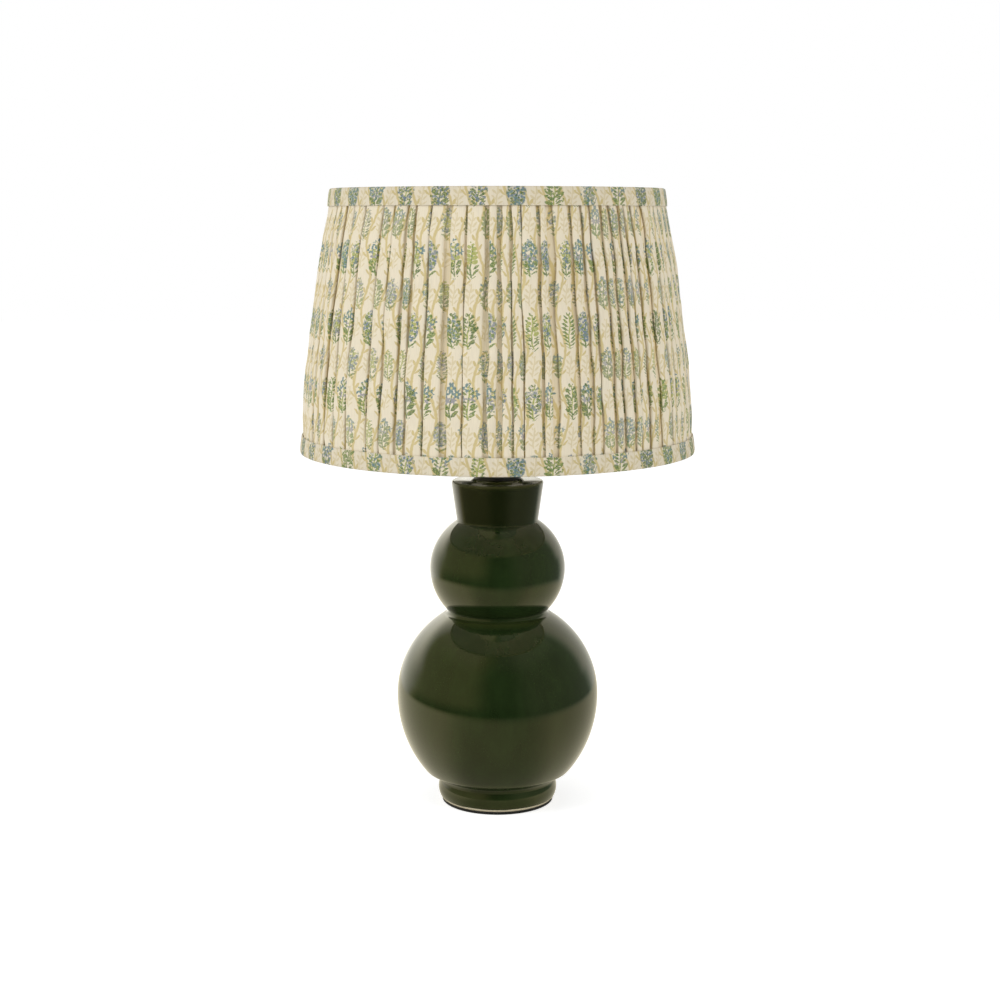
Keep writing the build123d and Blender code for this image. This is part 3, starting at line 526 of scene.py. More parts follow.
    @classmethod
    def berry_bush(cls, sketch: Sketch, local: Socket, green: Socket, bloom: Socket) -> list[tuple]:
        """Round cloud of small berries and leaves on a short stem, with two leaves."""
        dots = sketch.add("TexVoronoi")
        sketch.put(dots.inputs["Vector"], local)
        dots.inputs["Scale"].default_value = 0.78
        spot = sketch.step(dots.outputs["Distance"], 0.74, 0.52)
        which, _, _ = sketch.split(dots.outputs["Color"])
        tint = sketch.mix(sketch.step(which, 0.55, 0.6), bloom, green)
        x, y, _ = sketch.split(local)
        wide = sketch.math("DIVIDE", x, 6.0)
        tall = sketch.math("DIVIDE", sketch.math("SUBTRACT", y, 1.6), 9.0)
        far = sketch.math("ADD", sketch.math("MULTIPLY", wide, wide), sketch.math("MULTIPLY", tall, tall))
        ragged = sketch.math("ADD", far, sketch.math("MULTIPLY", sketch.cloud(local, 0.5), 0.7))
        cloud = sketch.step(ragged, 1.35, 1.1)
        pair = sketch.use(LeafPairs.group(), Point=local, Spacing=4.2, Reach=11.5, Length=3.3, Width=1.2,
                          Offset=3.0)
        low = sketch.step(y, -4.6, -5.6)
        return [(cls.stem(sketch, local, -10.5, 4.0), green),
                (sketch.math("MULTIPLY", pair.outputs["Mask"], low), green),
                (sketch.math("MULTIPLY", cloud, 0.3), tint),
                (sketch.math("MULTIPLY", spot, cloud), tint)]

    @classmethod
    def flower_stem(cls, sketch: Sketch, local: Socket, green: Socket, bloom: Socket) -> list[tuple]:
        """Three lobed flowers over broad leaves."""
        pair = sketch.use(LeafPairs.group(), Point=local, Spacing=4.4, Reach=11.5, Length=3.5, Width=1.65,
                          Offset=3.1, Lean=0.9)
        _, y, _ = sketch.split(local)
        low = sketch.step(y, -0.2, -1.2)
        return [(cls.stem(sketch, local, -10.5, 5.0), green),
                (sketch.math("MULTIPLY", pair.outputs["Mask"], low), green),
                (cls.disc(sketch, local, (0.0, 8.0), 3.0, 5), bloom),
                (cls.disc(sketch, local, (3.9, 4.6), 2.7, 6), bloom),
                (cls.disc(sketch, local, (2.0, 0.9), 2.0, 5), cls.mist),
                (cls.disc(sketch, local, (0.0, 8.0), 0.8), cls.yellow),
                (cls.disc(sketch, local, (3.9, 4.6), 0.7), cls.yellow)]

    @classmethod
    def feather_fern(cls, sketch: Sketch, local: Socket, green: Socket, bloom: Socket) -> list[tuple]:
        """Fern of fine slanting strokes in yellow green."""
        fronds = sketch.use(LeafPairs.group(), Point=local, Spacing=2.2, Reach=11.0, Length=4.3, Width=0.72,
                            Offset=2.7, Lean=0.72)
        return [(cls.stem(sketch, local, -10.5, 9.5), cls.lime), (fronds.outputs["Mask"], green)]

    @classmethod
    def flower_spike(cls, sketch: Sketch, local: Socket, green: Socket, bloom: Socket) -> list[tuple]:
        """Upright spike of small blooms over narrow leaves."""
        blooms = sketch.use(LeafPairs.group(), Point=local, Spacing=2.5, Reach=10.5, Length=2.1, Width=1.15,
                            Offset=1.95, Lean=0.3, Stagger=0.6)
        leaves = sketch.use(LeafPairs.group(), Point=local, Spacing=3.4, Reach=12.5, Length=3.8, Width=1.0,
                            Offset=3.1, Lean=0.95)
        _, y, _ = sketch.split(local)
        low = sketch.step(y, -3.0, -4.0)
        high = sketch.step(y, -3.6, -2.6)
        return [(cls.stem(sketch, local, -11.0, 8.0), green),
                (sketch.math("MULTIPLY", leaves.outputs["Mask"], low), green),
                (sketch.math("MULTIPLY", blooms.outputs["Mask"], high), bloom)]


class StudioWalls(SharedEffect):
    """Strength and tint of the studio for mirrored rays alone, by direction.

    It is white behind, brightest high on the left, with a panel on the left and a dark front.
    """

    warm_shade: Colour = (0.96, 0.88, 0.52)
    green_shade: Colour = (0.9, 1.0, 0.86)
    white: Colour = (1.0, 0.97, 0.86)
    front_level: float = 0.04
    panel_level: float = 0.58
    right_level: float = 0.26
    top_level: float = 0.18
    back_level: float = 1.05
    left_back_low: float = 1.6
    left_back_high: float = 3.0

    @classmethod
    def build(cls, sketch: Sketch) -> None:
        """Build the white back, the left panel and the dim front."""
        cls.socket(sketch, "Direction", "Vector")
        cls.socket(sketch, "Strength", "Float", output=True)
        cls.socket(sketch, "Tint", "Color", output=True)
        entry = sketch.tree.nodes.new("NodeGroupInput")
        leave = sketch.tree.nodes.new("NodeGroupOutput")
        x, y, z = sketch.split(sketch.vector("NORMALIZE", entry.outputs["Direction"]))
        level = sketch.math("MAXIMUM", sketch.vector("LENGTH", sketch.join(x, y)), 0.02)
        front = sketch.math("DIVIDE", sketch.math("MULTIPLY", y, -1.0), level)
        side = sketch.math("DIVIDE", x, level)
        rightness = sketch.step(side, -0.2, 0.2)
        lag = sketch.step(z, 0.0, 0.12, 0.1, 0.0)
        right_back = sketch.step(sketch.math("ADD", front, lag), -0.4, -0.7)
        high = sketch.step(z, 0.2, 0.6, 0.0, 0.36)
        left_back = sketch.step(sketch.math("ADD", front, high), -0.12, -0.75)
        panel = sketch.math("MULTIPLY", sketch.step(side, -0.08, -0.66, cls.front_level, cls.panel_level),
                            sketch.step(z, -0.4, 0.1, 0.12, 1.0))
        dim = sketch.math("ADD", sketch.step(side, 0.2, 0.8, 0.0, cls.right_level),
                          sketch.step(z, 0.55, 0.85, 0.0, cls.top_level))
        ahead = sketch.math("ADD", panel, dim)
        right_glow = sketch.math("MULTIPLY", sketch.math("SUBTRACT", cls.back_level, ahead), right_back)
        left_level = sketch.step(z, 0.0, 0.5, cls.left_back_low, cls.left_back_high)
        high_left = sketch.math("SUBTRACT", left_level, ahead)
        left_glow = sketch.math("MULTIPLY", high_left, left_back)
        lead = sketch.math("SUBTRACT", right_glow, left_glow)
        glow = sketch.math("ADD", left_glow, sketch.math("MULTIPLY", lead, rightness))
        strength = sketch.math("ADD", ahead, glow)
        shaded = sketch.mix(rightness, cls.warm_shade, cls.green_shade)
        sketch.put(leave.inputs["Strength"], strength)
        sketch.put(leave.inputs["Tint"], sketch.mix(sketch.step(strength, 0.45, 1.1), shaded, cls.white))


# ---------------------------------------------------------------- finishes
@dataclass(frozen=True)
class Finish:
    """A finish with one base colour, its grain and its gloss."""

    name: str
    colour: Colour
    roughness: float = 0.5
    metallic: float = 0.0
    tone_swing: float = 0.12
    polish_swing: float = 0.12
    bump: float = 0.05
    coarse: float = 40.0
    fine: float = 700.0
    specular_tint: Colour = (1.0, 1.0, 1.0)

    def material(self) -> bpy.types.Material:
        """Return the material, building it the first time."""
        found = bpy.data.materials.get(self.name)
        if found:
            return found
        made = bpy.data.materials.new(self.name)
        made.use_nodes = True
        made.diffuse_color = (*self.colour, 1.0)
        sketch = Sketch(made.node_tree)
        self.dress(sketch, made.node_tree.nodes["Principled BSDF"])
        return made

    def dress(self, sketch: Sketch, shader: bpy.types.Node) -> None:
        """Wire the grain into the shader.

        Args:
            sketch: The material's tree.
            shader: Its Principled BSDF.
        """
        grain = sketch.use(FineGrain.group(), Coarse=self.coarse, Fine=self.fine)
        dark = tuple(c * (1 - self.tone_swing) for c in self.colour)
        light = tuple(min(1.0, c * (1 + self.tone_swing)) for c in self.colour)
        sketch.put(shader.inputs["Base Color"], sketch.mix(grain.outputs["Tone"], dark, light))
        rough = sketch.step(grain.outputs["Polish"], 0.0, 0.6, self.roughness - self.polish_swing * 0.5,
                            self.roughness + self.polish_swing)
        sketch.put(shader.inputs["Roughness"], rough)
        shader.inputs["Metallic"].default_value = self.metallic
        shader.inputs["Specular Tint"].default_value = (*self.specular_tint, 1.0)
        self.raise_bump(sketch, shader, grain.outputs["Height"], self.bump, 0.0002)

    @staticmethod
    def raise_bump(sketch: Sketch, shader: bpy.types.Node, height: Socket, strength: float,
                   distance: float) -> None:
        """Feed a height to the shader's normal.

        Args:
            sketch: The material's tree.
            shader: Its Principled BSDF.
            height: The height, 0 to 1.
            strength: Share of the effect.
            distance: Depth in metres.
        """
        node = sketch.add("Bump")
        node.inputs["Strength"].default_value = strength
        node.inputs["Distance"].default_value = distance
        sketch.put(node.inputs["Height"], height)
        sketch.put(shader.inputs["Normal"], node.outputs[0])


@dataclass(frozen=True)
class GlazeFinish(Finish):
    """Deep glossy glaze that thins on edges and stops short of the foot's bare rim."""

    thin: Colour = linear(74, 78, 38)
    # Neck colour: a browner glaze, darkened as painted shade from the shade above it.
    neck: Colour = (0.0115, 0.0132, 0.0042)
    clay: Colour = linear(232, 220, 190)
    bare_below: float = 3.9 * MM
    height: float = 240.0 * MM

    def dress(self, sketch: Sketch, shader: bpy.types.Node) -> None:
        """Wire the glaze, its thin edges, the neck's browner tone with painted shade, and the bare clay into the
        shader.
        """
        place = sketch.add("TexCoord").outputs["Object"]
        _, _, z = sketch.split(place)
        edges = [(21.0, 0.0), (23.4, 0.5), (27.0, 0.0), (134.0, 0.0), (137.6, 0.45), (139.2, 0.0),
                 (231.0, 0.0), (234.2, 0.8), (236.0, 0.25)]
        stops = [(0.0, (0.25,) * 3)] + [(level * MM / self.height, (value,) * 3) for level, value in edges]
        thin = sketch.ramp(sketch.math("DIVIDE", z, self.height), stops)
        cloud = sketch.cloud(place, 22.0, 4.0, 0.55)
        streak = sketch.cloud(sketch.vector("MULTIPLY", place, (1.0, 1.0, 0.25)), 70.0, 3.0, 0.6)
        tone = sketch.math("MULTIPLY", cloud, streak)
        deep = tuple(c * 0.8 for c in self.colour)
        light = tuple(c * 1.25 for c in self.colour)
        glaze = sketch.mix(sketch.step(tone, 0.12, 0.42), deep, light)
        # Painted shade and a browner glaze: above the crown the colour turns towards the neck colour.
        glaze = sketch.mix(sketch.step(z, 0.203, 0.208, 0.0, 0.75), glaze, self.neck)
        glaze = sketch.mix(sketch.math("MULTIPLY", thin, 0.6), glaze, self.thin)
        ragged = sketch.cloud(place, 90.0, 3.0, 0.6)
        level = sketch.math("ADD", z, sketch.math("MULTIPLY", sketch.math("SUBTRACT", ragged, 0.5), 1.1 * MM))
        bare = sketch.step(level, self.bare_below + 0.12 * MM, self.bare_below - 0.12 * MM)
        speck = sketch.cloud(place, 900.0, 3.0, 0.7)
        clay = sketch.mix(speck, tuple(c * 0.8 for c in self.clay), self.clay)
        sketch.put(shader.inputs["Base Color"], sketch.mix(bare, glaze, clay))
        rough = sketch.step(streak, 0.3, 0.7, self.roughness * 0.7, self.roughness * 1.4)
        node = sketch.add("Mix", data_type="FLOAT")
        sketch.put(node.inputs[0], bare)
        sketch.put(node.inputs[2], rough)
        node.inputs[3].default_value = 0.75
        sketch.put(shader.inputs["Roughness"], node.outputs[0])
        shader.inputs["IOR"].default_value = 1.5
        shader.inputs["Specular Tint"].default_value = (*self.specular_tint, 1.0)
        ripple = sketch.cloud(place, 26.0, 2.0, 0.4)
        self.raise_bump(sketch, shader, ripple, self.bump, 1.0 * MM)


@dataclass(frozen=True)
class ClothFinish(Finish):
    """Cotton printed with small sprigs and woven fine, with painted shade, a little more tan, deep in its folds.

    Its depth is a factor on the tone, under 1 where the cloth is doubled.
    """

    map_name: str = "cloth"
    # Tint multiplied in where the cloth lies deep in its folds: painted shade.
    fold_shade_tint: Colour = (1.0, 0.965, 0.89)
    depth: float = 1.0

    def dress(self, sketch: Sketch, shader: bpy.types.Node) -> None:
        """Wire the print, the weave and the painted shade of the folds into the shader."""
        cloth = sketch.add("UVMap", uv_map=self.map_name).outputs[0]
        sprig = sketch.use(SprigPrint.group(), Map=cloth)
        weave = sketch.use(PlainWeave.group(), Map=cloth, Threads=1900.0)
        tone = sketch.step(weave.outputs["Tone"], 0.2, 0.75, 0.93 * self.depth, 1.03 * self.depth)
        colour = sketch.mix(1.0, sprig.outputs["Color"], sketch.join(tone, tone, tone), "MULTIPLY")
        # Painted shade: where the rise attribute is low, deep in the folds, the colour is multiplied by the tint.
        rise = sketch.add("Attribute", attribute_name="rise").outputs["Fac"]
        fold_shaded = sketch.mix(1.0, colour, self.fold_shade_tint, "MULTIPLY")
        colour = sketch.mix(sketch.step(rise, 0.1, 0.6), fold_shaded, colour)
        sketch.put(shader.inputs["Base Color"], colour)
        rough = sketch.step(sprig.outputs["Ink"], 0.0, 1.0, self.roughness, self.roughness - 0.1)
        sketch.put(shader.inputs["Roughness"], rough)
        shader.inputs["Sheen Weight"].default_value = 0.15
        shader.inputs["Sheen Roughness"].default_value = 0.5
        shader.inputs["Specular IOR Level"].default_value = 0.25
        self.raise_bump(sketch, shader, weave.outputs["Height"], 0.35, 0.12 * MM)


@dataclass(frozen=True)
class GlassFinish(Finish):
    """Glass with an even inner frosting."""

    def dress(self, sketch: Sketch, shader: bpy.types.Node) -> None:
        """Wire the frosted glass into the shader."""
        place = sketch.add("TexCoord").outputs["Object"]
        cloud = sketch.cloud(place, 60.0, 3.0)
        light = tuple(min(1.0, c * 1.04) for c in self.colour)
        sketch.put(shader.inputs["Base Color"], sketch.mix(cloud, self.colour, light))
        rough = sketch.step(cloud, 0.3, 0.7, self.roughness - 0.04, self.roughness + 0.04)
        sketch.put(shader.inputs["Roughness"], rough)
        shader.inputs["Transmission Weight"].default_value = 0.35
        shader.inputs["IOR"].default_value = 1.5


GLAZE = GlazeFinish("deep_green_glaze", (0.0112, 0.0222, 0.0058), roughness=0.055, bump=0.06,
                    specular_tint=(1.0, 0.9, 0.6))
RUBBER = Finish("matt_black_rubber", linear(26, 26, 26), roughness=0.75, bump=0.25, fine=1500.0)
BLACK_METAL = Finish("satin_black_paint", linear(34, 32, 30), roughness=0.34, bump=0.12, fine=1400.0)
ZINC = Finish("zinc_plate", linear(196, 197, 196), roughness=0.33, metallic=1.0, bump=0.08, fine=900.0)
BRASS = Finish("plain_brass", linear(214, 182, 112), roughness=0.3, metallic=1.0, bump=0.06)
ALUMINIUM = Finish("bright_aluminium", linear(214, 214, 212), roughness=0.26, metallic=1.0, bump=0.06)
SOLDER = Finish("dull_solder", linear(170, 170, 168), roughness=0.45, metallic=1.0, bump=0.3, fine=1200.0)
CARD = Finish("insulating_card", linear(198, 170, 124), roughness=0.85, bump=0.3, fine=2400.0)
RESIN = Finish("moulded_resin", linear(58, 44, 38), roughness=0.45, bump=0.12, fine=1200.0)
PLASTIC = Finish("black_moulding", linear(30, 29, 28), roughness=0.36, bump=0.1, fine=1800.0)
DARK_GLASS = Finish("dark_glass", linear(28, 24, 30), roughness=0.18, bump=0.05)
FROSTED = GlassFinish("frosted_glass", linear(243, 243, 240), roughness=0.42)
WHITE_WIRE = Finish("white_coated_wire", linear(232, 230, 224), roughness=0.38, bump=0.08, tone_swing=0.04)
LINER = Finish("off_white_sheet", linear(243, 238, 226), roughness=0.5, bump=0.15, tone_swing=0.03, fine=1600.0)
CLOTH = ClothFinish("sprig_cotton", linear(236, 224, 198), roughness=0.85)
BAND_CLOTH = ClothFinish("doubled_sprig_cotton", linear(226, 212, 184), roughness=0.85, depth=0.9)


# ---------------------------------------------------------------- modelling
class Modeller:
    """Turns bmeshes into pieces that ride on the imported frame."""

    def __init__(self, body: str) -> None:
        """Keep the body that the pieces ride on."""
        self.body = body

    def piece(self, name: str, mesh: bmesh.types.BMesh, finish: Finish, slot: str, nodes: list[str],
              smooth_below: float = 35.0) -> bpy.types.Object:
        """Make a piece from a bmesh, dress it and set it in the frame.

        Args:
            name: Name of the piece.
            mesh: Its bmesh, freed here.
            finish: Its finish.
            slot: The record's material slot; not used.
            nodes: CAD nodes that it stands for.
            smooth_below: Faces that meet at less than this many degrees are shaded as one surface.

        Returns:
            The object.
        """
        data = bpy.data.meshes.new(name)
        mesh.to_mesh(data)
        mesh.free()
        made = bpy.data.objects.new(name, data)
        bpy.context.scene.collection.objects.link(made)
        return self.settle(made, finish, slot, nodes, smooth_below)

    def settle(self, made: bpy.types.Object, finish: Finish, slot: str, nodes: list[str],
               smooth_below: float = 35.0) -> bpy.types.Object:
        """Shade, dress and place an object whose mesh lies in the shared frame.

        Args:
            made: The object.
            finish: Its finish.
            slot: The record's material slot; not used.
            nodes: CAD nodes that it stands for.
            smooth_below: Angle in degrees under which faces are shaded as one surface.

        Returns:
            The same object.
        """
        made.data.shade_smooth()
        made.data.set_sharp_from_angle(angle=math.radians(smooth_below))
        made.data.materials.clear()
        made.data.materials.append(finish.material())
        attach(made, self.body)
        if nodes:
            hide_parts(*nodes)
        LOG.info("%s: %d faces, for %s", made.name, len(made.data.polygons), ", ".join(nodes) or "no node")
        return made

    def refined(self, node: str, finish: Finish, slot: str, smooth_below: float = 32.0) -> bpy.types.Object:
        """Stand a merged, smoothly shaded copy in for a CAD node.

        Args:
            node: The CAD node.
            finish: Its finish.
            slot: The record's material slot; not used.
            smooth_below: Angle in degrees under which faces are shaded as one surface.

        Returns:
            The copy.
        """
        mesh = bmesh.new()
        mesh.from_mesh(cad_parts[node].data)
        bmesh.ops.remove_doubles(mesh, verts=mesh.verts, dist=0.002 * MM)
        return self.piece(node + "_shown", mesh, finish, slot, [node], smooth_below)


def turned(outline: list[Point], steps: int, corners: dict[int, float] | None = None,
           closed: bool = False) -> bmesh.types.BMesh:
    """Turn an outline about the lamp's axis.

    Args:
        outline: Radius and height of each point, in millimetres.
        steps: How many steps make the full turn.
        corners: Rounding in millimetres of some points of the outline, by their index.
        closed: True if the outline's last point joins its first.

    Returns:
        The turned mesh, with its normals outwards.
    """
    mesh = bmesh.new()
    points = [mesh.verts.new((radius * MM, 0.0, height * MM)) for radius, height in outline]
    for first, second in zip(points, points[1:]):
        mesh.edges.new((first, second))
    if closed:
        mesh.edges.new((points[-1], points[0]))
    for index, rounding in (corners or {}).items():
        bmesh.ops.bevel(mesh, geom=[points[index]], affect="VERTICES", offset=rounding * MM, segments=6,
                        profile=0.5, material=-1)
    geometry_in = list(mesh.verts) + list(mesh.edges)
    bmesh.ops.spin(mesh, geom=geometry_in, axis=(0, 0, 1), cent=(0, 0, 0), angle=2 * math.pi, steps=steps,
                   use_merge=True, use_duplicate=False)
    bmesh.ops.remove_doubles(mesh, verts=mesh.verts, dist=0.001 * MM)
    bmesh.ops.recalc_face_normals(mesh, faces=mesh.faces)
    return mesh


def ellipse(centre: Point, half_width: float, half_height: float, start: float, end: float,
            count: int) -> list[Point]:
    """Points along an upright ellipse.

    Args:
        centre: Centre of the ellipse, as radius and height.
        half_width: Half its width.
        half_height: Half its height.
        start: First parameter, in degrees from the lowest point.
        end: Last parameter.
        count: How many points.

    Returns:
        The points.
    """
    places = [math.radians(start + (end - start) * index / (count - 1)) for index in range(count)]
    return [(centre[0] + half_width * math.sin(a), centre[1] - half_height * math.cos(a)) for a in places]


def arc_through(start: Point, middle: Point, end: Point, count: int) -> list[Point]:
    """Points along the circle through three points.

    Args:
        start: First point.
        middle: A point on the way.
        end: Last point.
        count: How many points.

    Returns:
        The points, from start to end.
    """
    (ax, ay), (bx, by), (cx, cy) = start, middle, end
    turn = 2 * (ax * (by - cy) + bx * (cy - ay) + cx * (ay - by))
    a2, b2, c2 = ax * ax + ay * ay, bx * bx + by * by, cx * cx + cy * cy
    ux = (a2 * (by - cy) + b2 * (cy - ay) + c2 * (ay - by)) / turn
    uy = (a2 * (cx - bx) + b2 * (ax - cx) + c2 * (bx - ax)) / turn
    radius = math.hypot(ax - ux, ay - uy)
    first = math.atan2(ay - uy, ax - ux)
    span = (math.atan2(cy - uy, cx - ux) - first) % (2 * math.pi)
    via = (math.atan2(by - uy, bx - ux) - first) % (2 * math.pi)
    if via > span:
        span -= 2 * math.pi
    angles = [first + span * index / (count - 1) for index in range(count)]
    return [(ux + radius * math.cos(a), uy + radius * math.sin(a)) for a in angles]


def wrapped_grid(columns: int, rows: int, place: Callable[[float, float], Vector],
                 cloth: Callable[[float, float], Point], close_rows: bool = False,
                 rise: Callable[[float, float], float] = lambda turn, across: 1.0) -> bmesh.types.BMesh:
    """Bend a flat grid round the lamp and close its seam.

    Args:
        columns: Cells round the lamp.
        rows: Cells across the strip.
        place: Gives the point for a share of the turn and a share of the strip.
        cloth: Gives the cloth's own map, in metres, for the same two shares.
        close_rows: True if the strip's last row joins its first.
        rise: Gives how far each point stands out of the folds, 0 to 1, which the cloth's finish uses for painted
            shade.

    Returns:
        The bent mesh with a UV map called cloth and an attribute called rise.
    """
    mesh = bmesh.new()
    bmesh.ops.create_grid(mesh, x_segments=columns, y_segments=rows, size=0.5)
    height = mesh.verts.layers.float.new("rise")
    shares = {vert: (vert.co.x + 0.5, vert.co.y + 0.5) for vert in mesh.verts}
    chart = mesh.loops.layers.uv.new("cloth")
    for face in mesh.faces:
        for loop in face.loops:
            loop[chart].uv = cloth(*shares[loop.vert])
    for vert, (turn, across) in shares.items():
        vert[height] = rise(turn, across)
        vert.co = place(turn % 1.0 if turn > 0.9999 else turn, across % 1.0 if close_rows else across)
    bmesh.ops.remove_doubles(mesh, verts=mesh.verts, dist=0.0005 * MM)
    bmesh.ops.recalc_face_normals(mesh, faces=mesh.faces)
    return mesh


# ---------------------------------------------------------------- base
@dataclass
class GourdBase:
    """Ceramic gourd with its pad, rod and foot fastenings.  Sizes are in millimetres."""

    steps: int = 256
    pad_radius: float = 40.2
    pad_top: float = 2.0
    foot_radius: float = 41.2
    bare_edge: float = 1.2
    bulge: Point = (42.6, 7.0)
    foot_neck: Point = (41.4, 15.5)
    undercut: float = 3.4
    undercut_z: float = 21.4
    ball_edge_z: float = 23.4
    lower_z: float = 78.8
    lower_radius: float = 72.3
    lower_drop: float = 80.2
    lower_rise: float = 69.5
    upper_z: float = 171.2
    upper_radius: float = 48.3
    upper_drop: float = 45.3
    upper_rise: float = 42.8
    ledge_radius: float = 38.2
    crease_radius: float = 35.7
    neck_base: float = 28.9
    rim: Point = (33.0, 234.4)
    seat: Point = (17.4, 235.7)
    dish_z: float = 233.9
    recess: Point = (34.5, 19.0)
    wall: float = 5.2
    floor_z: float = 24.0
    rod_hole: float = 6.3
    cord_z: float = 11.0
    cord_hole: float = 5.1
    modeller: Modeller = field(default_factory=lambda: Modeller("lamp_base"))

    @staticmethod
    def ring_angle(radius: float, widest: float) -> float:
        """Return how far below or above the widest ring a ring lies, in degrees."""
        return math.degrees(math.acos(radius / widest))

    def outside(self) -> tuple[list[Point], dict[int, float]]:
        """Outline of the outer surface, from the edge of the recess up to the rod hole.

        Returns:
            The points, and the rounding of its corners by index.
        """
        drop = (self.lower_z - self.ball_edge_z) / self.lower_drop
        edge = self.lower_radius * math.sqrt(1 - drop * drop)
        under = (edge - self.undercut, self.undercut_z)
        under_mid = (self.foot_neck[0] + (under[0] - self.foot_neck[0]) * 0.3,
                     self.foot_neck[1] + (self.undercut_z - self.foot_neck[1]) * 0.7)
        low_start = 90 - self.ring_angle(edge, self.lower_radius)
        low_end = 90 + self.ring_angle(self.ledge_radius, self.lower_radius)
        top_start = 90 - self.ring_angle(self.crease_radius, self.upper_radius)
        top_end = 90 + self.ring_angle(self.neck_base, self.upper_radius)
        lower = ellipse((0, self.lower_z), self.lower_radius, self.lower_drop, low_start, 90, 60)
        shoulder = ellipse((0, self.lower_z), self.lower_radius, self.lower_rise, 90, low_end, 70)
        upper = ellipse((0, self.upper_z), self.upper_radius, self.upper_drop, top_start, 90, 50)
        crown = ellipse((0, self.upper_z), self.upper_radius, self.upper_rise, 90, top_end, 50)
        ledge, crease = shoulder[-1], upper[0]
        cove = ((ledge[0] + crease[0]) / 2 - 0.5, (ledge[1] + crease[1]) / 2 - 0.5)
        points = [(self.recess[0], self.pad_top), (self.foot_radius - self.bare_edge, self.pad_top),
                  (self.foot_radius, self.pad_top + self.bare_edge)]
        points += arc_through(points[-1], self.bulge, self.foot_neck, 24)[1:]
        points += arc_through(self.foot_neck, under_mid, under, 12)[1:]
        rounding = {len(points): 1.1}
        points += lower + shoulder[1:]
        points += arc_through(ledge, cove, crease, 9)[1:-1]
        points += upper + crown[1:]
        rounding[len(points) - 1] = 1.4
        rounding[len(points)] = 2.1
        points.append(self.rim)
        points.append((self.seat[0] + 1.8, self.dish_z))
        rounding[len(points)] = 0.7
        points += [self.seat, (self.rod_hole, self.seat[1])]
        return points, rounding

    def inside(self) -> list[Point]:
        """Outline of the hollow, from the top of the rod hole down and out to the recess."""
        lower, upper = self.lower_radius - self.wall, self.upper_radius - self.wall
        waist, neck = self.crease_radius - self.wall, self.neck_base - self.wall
        floor = lower * math.sqrt(1 - ((self.lower_z - self.floor_z) / (self.lower_drop - self.wall)) ** 2)
        neck_end = 90 + self.ring_angle(neck, upper)
        points = [(self.rod_hole, self.dish_z - self.wall),
                  (neck + self.rim[0] - self.neck_base, self.dish_z - self.wall)]
        points += ellipse((0, self.upper_z), upper, self.upper_rise - self.wall, neck_end, 90, 20)
        points += ellipse((0, self.upper_z), upper, self.upper_drop - self.wall, 90,
                          90 - self.ring_angle(waist, upper), 20)[1:]
        points += ellipse((0, self.lower_z), lower, self.lower_rise - self.wall,
                          90 + self.ring_angle(waist, lower), 90, 24)
        points += ellipse((0, self.lower_z), lower, self.lower_drop - self.wall, 90,
                          90 - self.ring_angle(floor, lower), 20)[1:]
        points += [(self.rod_hole, self.floor_z), (self.rod_hole, self.recess[1]), self.recess]
        return points

    def body(self) -> bpy.types.Object:
        """Turn the gourd and pierce the cord hole at the back of its foot."""
        outside, rounding = self.outside()
        mesh = turned(outside + self.inside(), self.steps, rounding, closed=True)
        made = self.modeller.piece("gourd_glazed", mesh, GLAZE, "glazed_gourd", ["gourd_body"], 50.0)
        drill = bmesh.new()
        bmesh.ops.create_cone(drill, cap_ends=True, segments=48, radius1=self.cord_hole * MM,
                              radius2=self.cord_hole * MM, depth=20 * MM)
        turn = Matrix.Translation((0, 40 * MM, self.cord_z * MM)) @ Matrix.Rotation(math.pi / 2, 4, "X")
        bmesh.ops.transform(drill, matrix=turn, verts=drill.verts)
        self.cut(made, drill)
        return made

    @staticmethod
    def cut(made: bpy.types.Object, tool: bmesh.types.BMesh) -> None:
        """Take a tool's solid away from a piece.

        Args:
            made: The piece.
            tool: Mesh of the tool, freed here.
        """
        data = bpy.data.meshes.new("tool")
        tool.to_mesh(data)
        tool.free()
        cutter = bpy.data.objects.new("tool", data)
        bpy.context.scene.collection.objects.link(cutter)
        modifier = made.modifiers.new("cord_hole", "BOOLEAN")
        modifier.operation = "DIFFERENCE"
        modifier.solver = "EXACT"
        modifier.object = cutter
        graph = bpy.context.evaluated_depsgraph_get()
        result = bpy.data.meshes.new_from_object(made.evaluated_get(graph))
        made.modifiers.clear()
        made.data = result
        bpy.data.objects.remove(cutter)

    def pad(self) -> bpy.types.Object:
        """Turn the pad with softly worn edges."""
        outline = [(0.0, 0.0), (self.pad_radius, 0.0), (self.pad_radius, self.pad_top), (0.0, self.pad_top)]
        mesh = turned(outline, 128, {1: 0.35, 2: 0.25})
        return self.modeller.piece("base_pad_shown", mesh, RUBBER, "pad_rubber", ["base_pad"])

    def build(self) -> None:
        """Build and dress the base."""
        self.body()
        self.pad()
        self.modeller.refined("cord_grommet", RUBBER, "pad_rubber")
        for node in ("threaded_rod", "bottom_washer", "bottom_nut"):
            self.modeller.refined(node, ZINC, "zinc_steel")


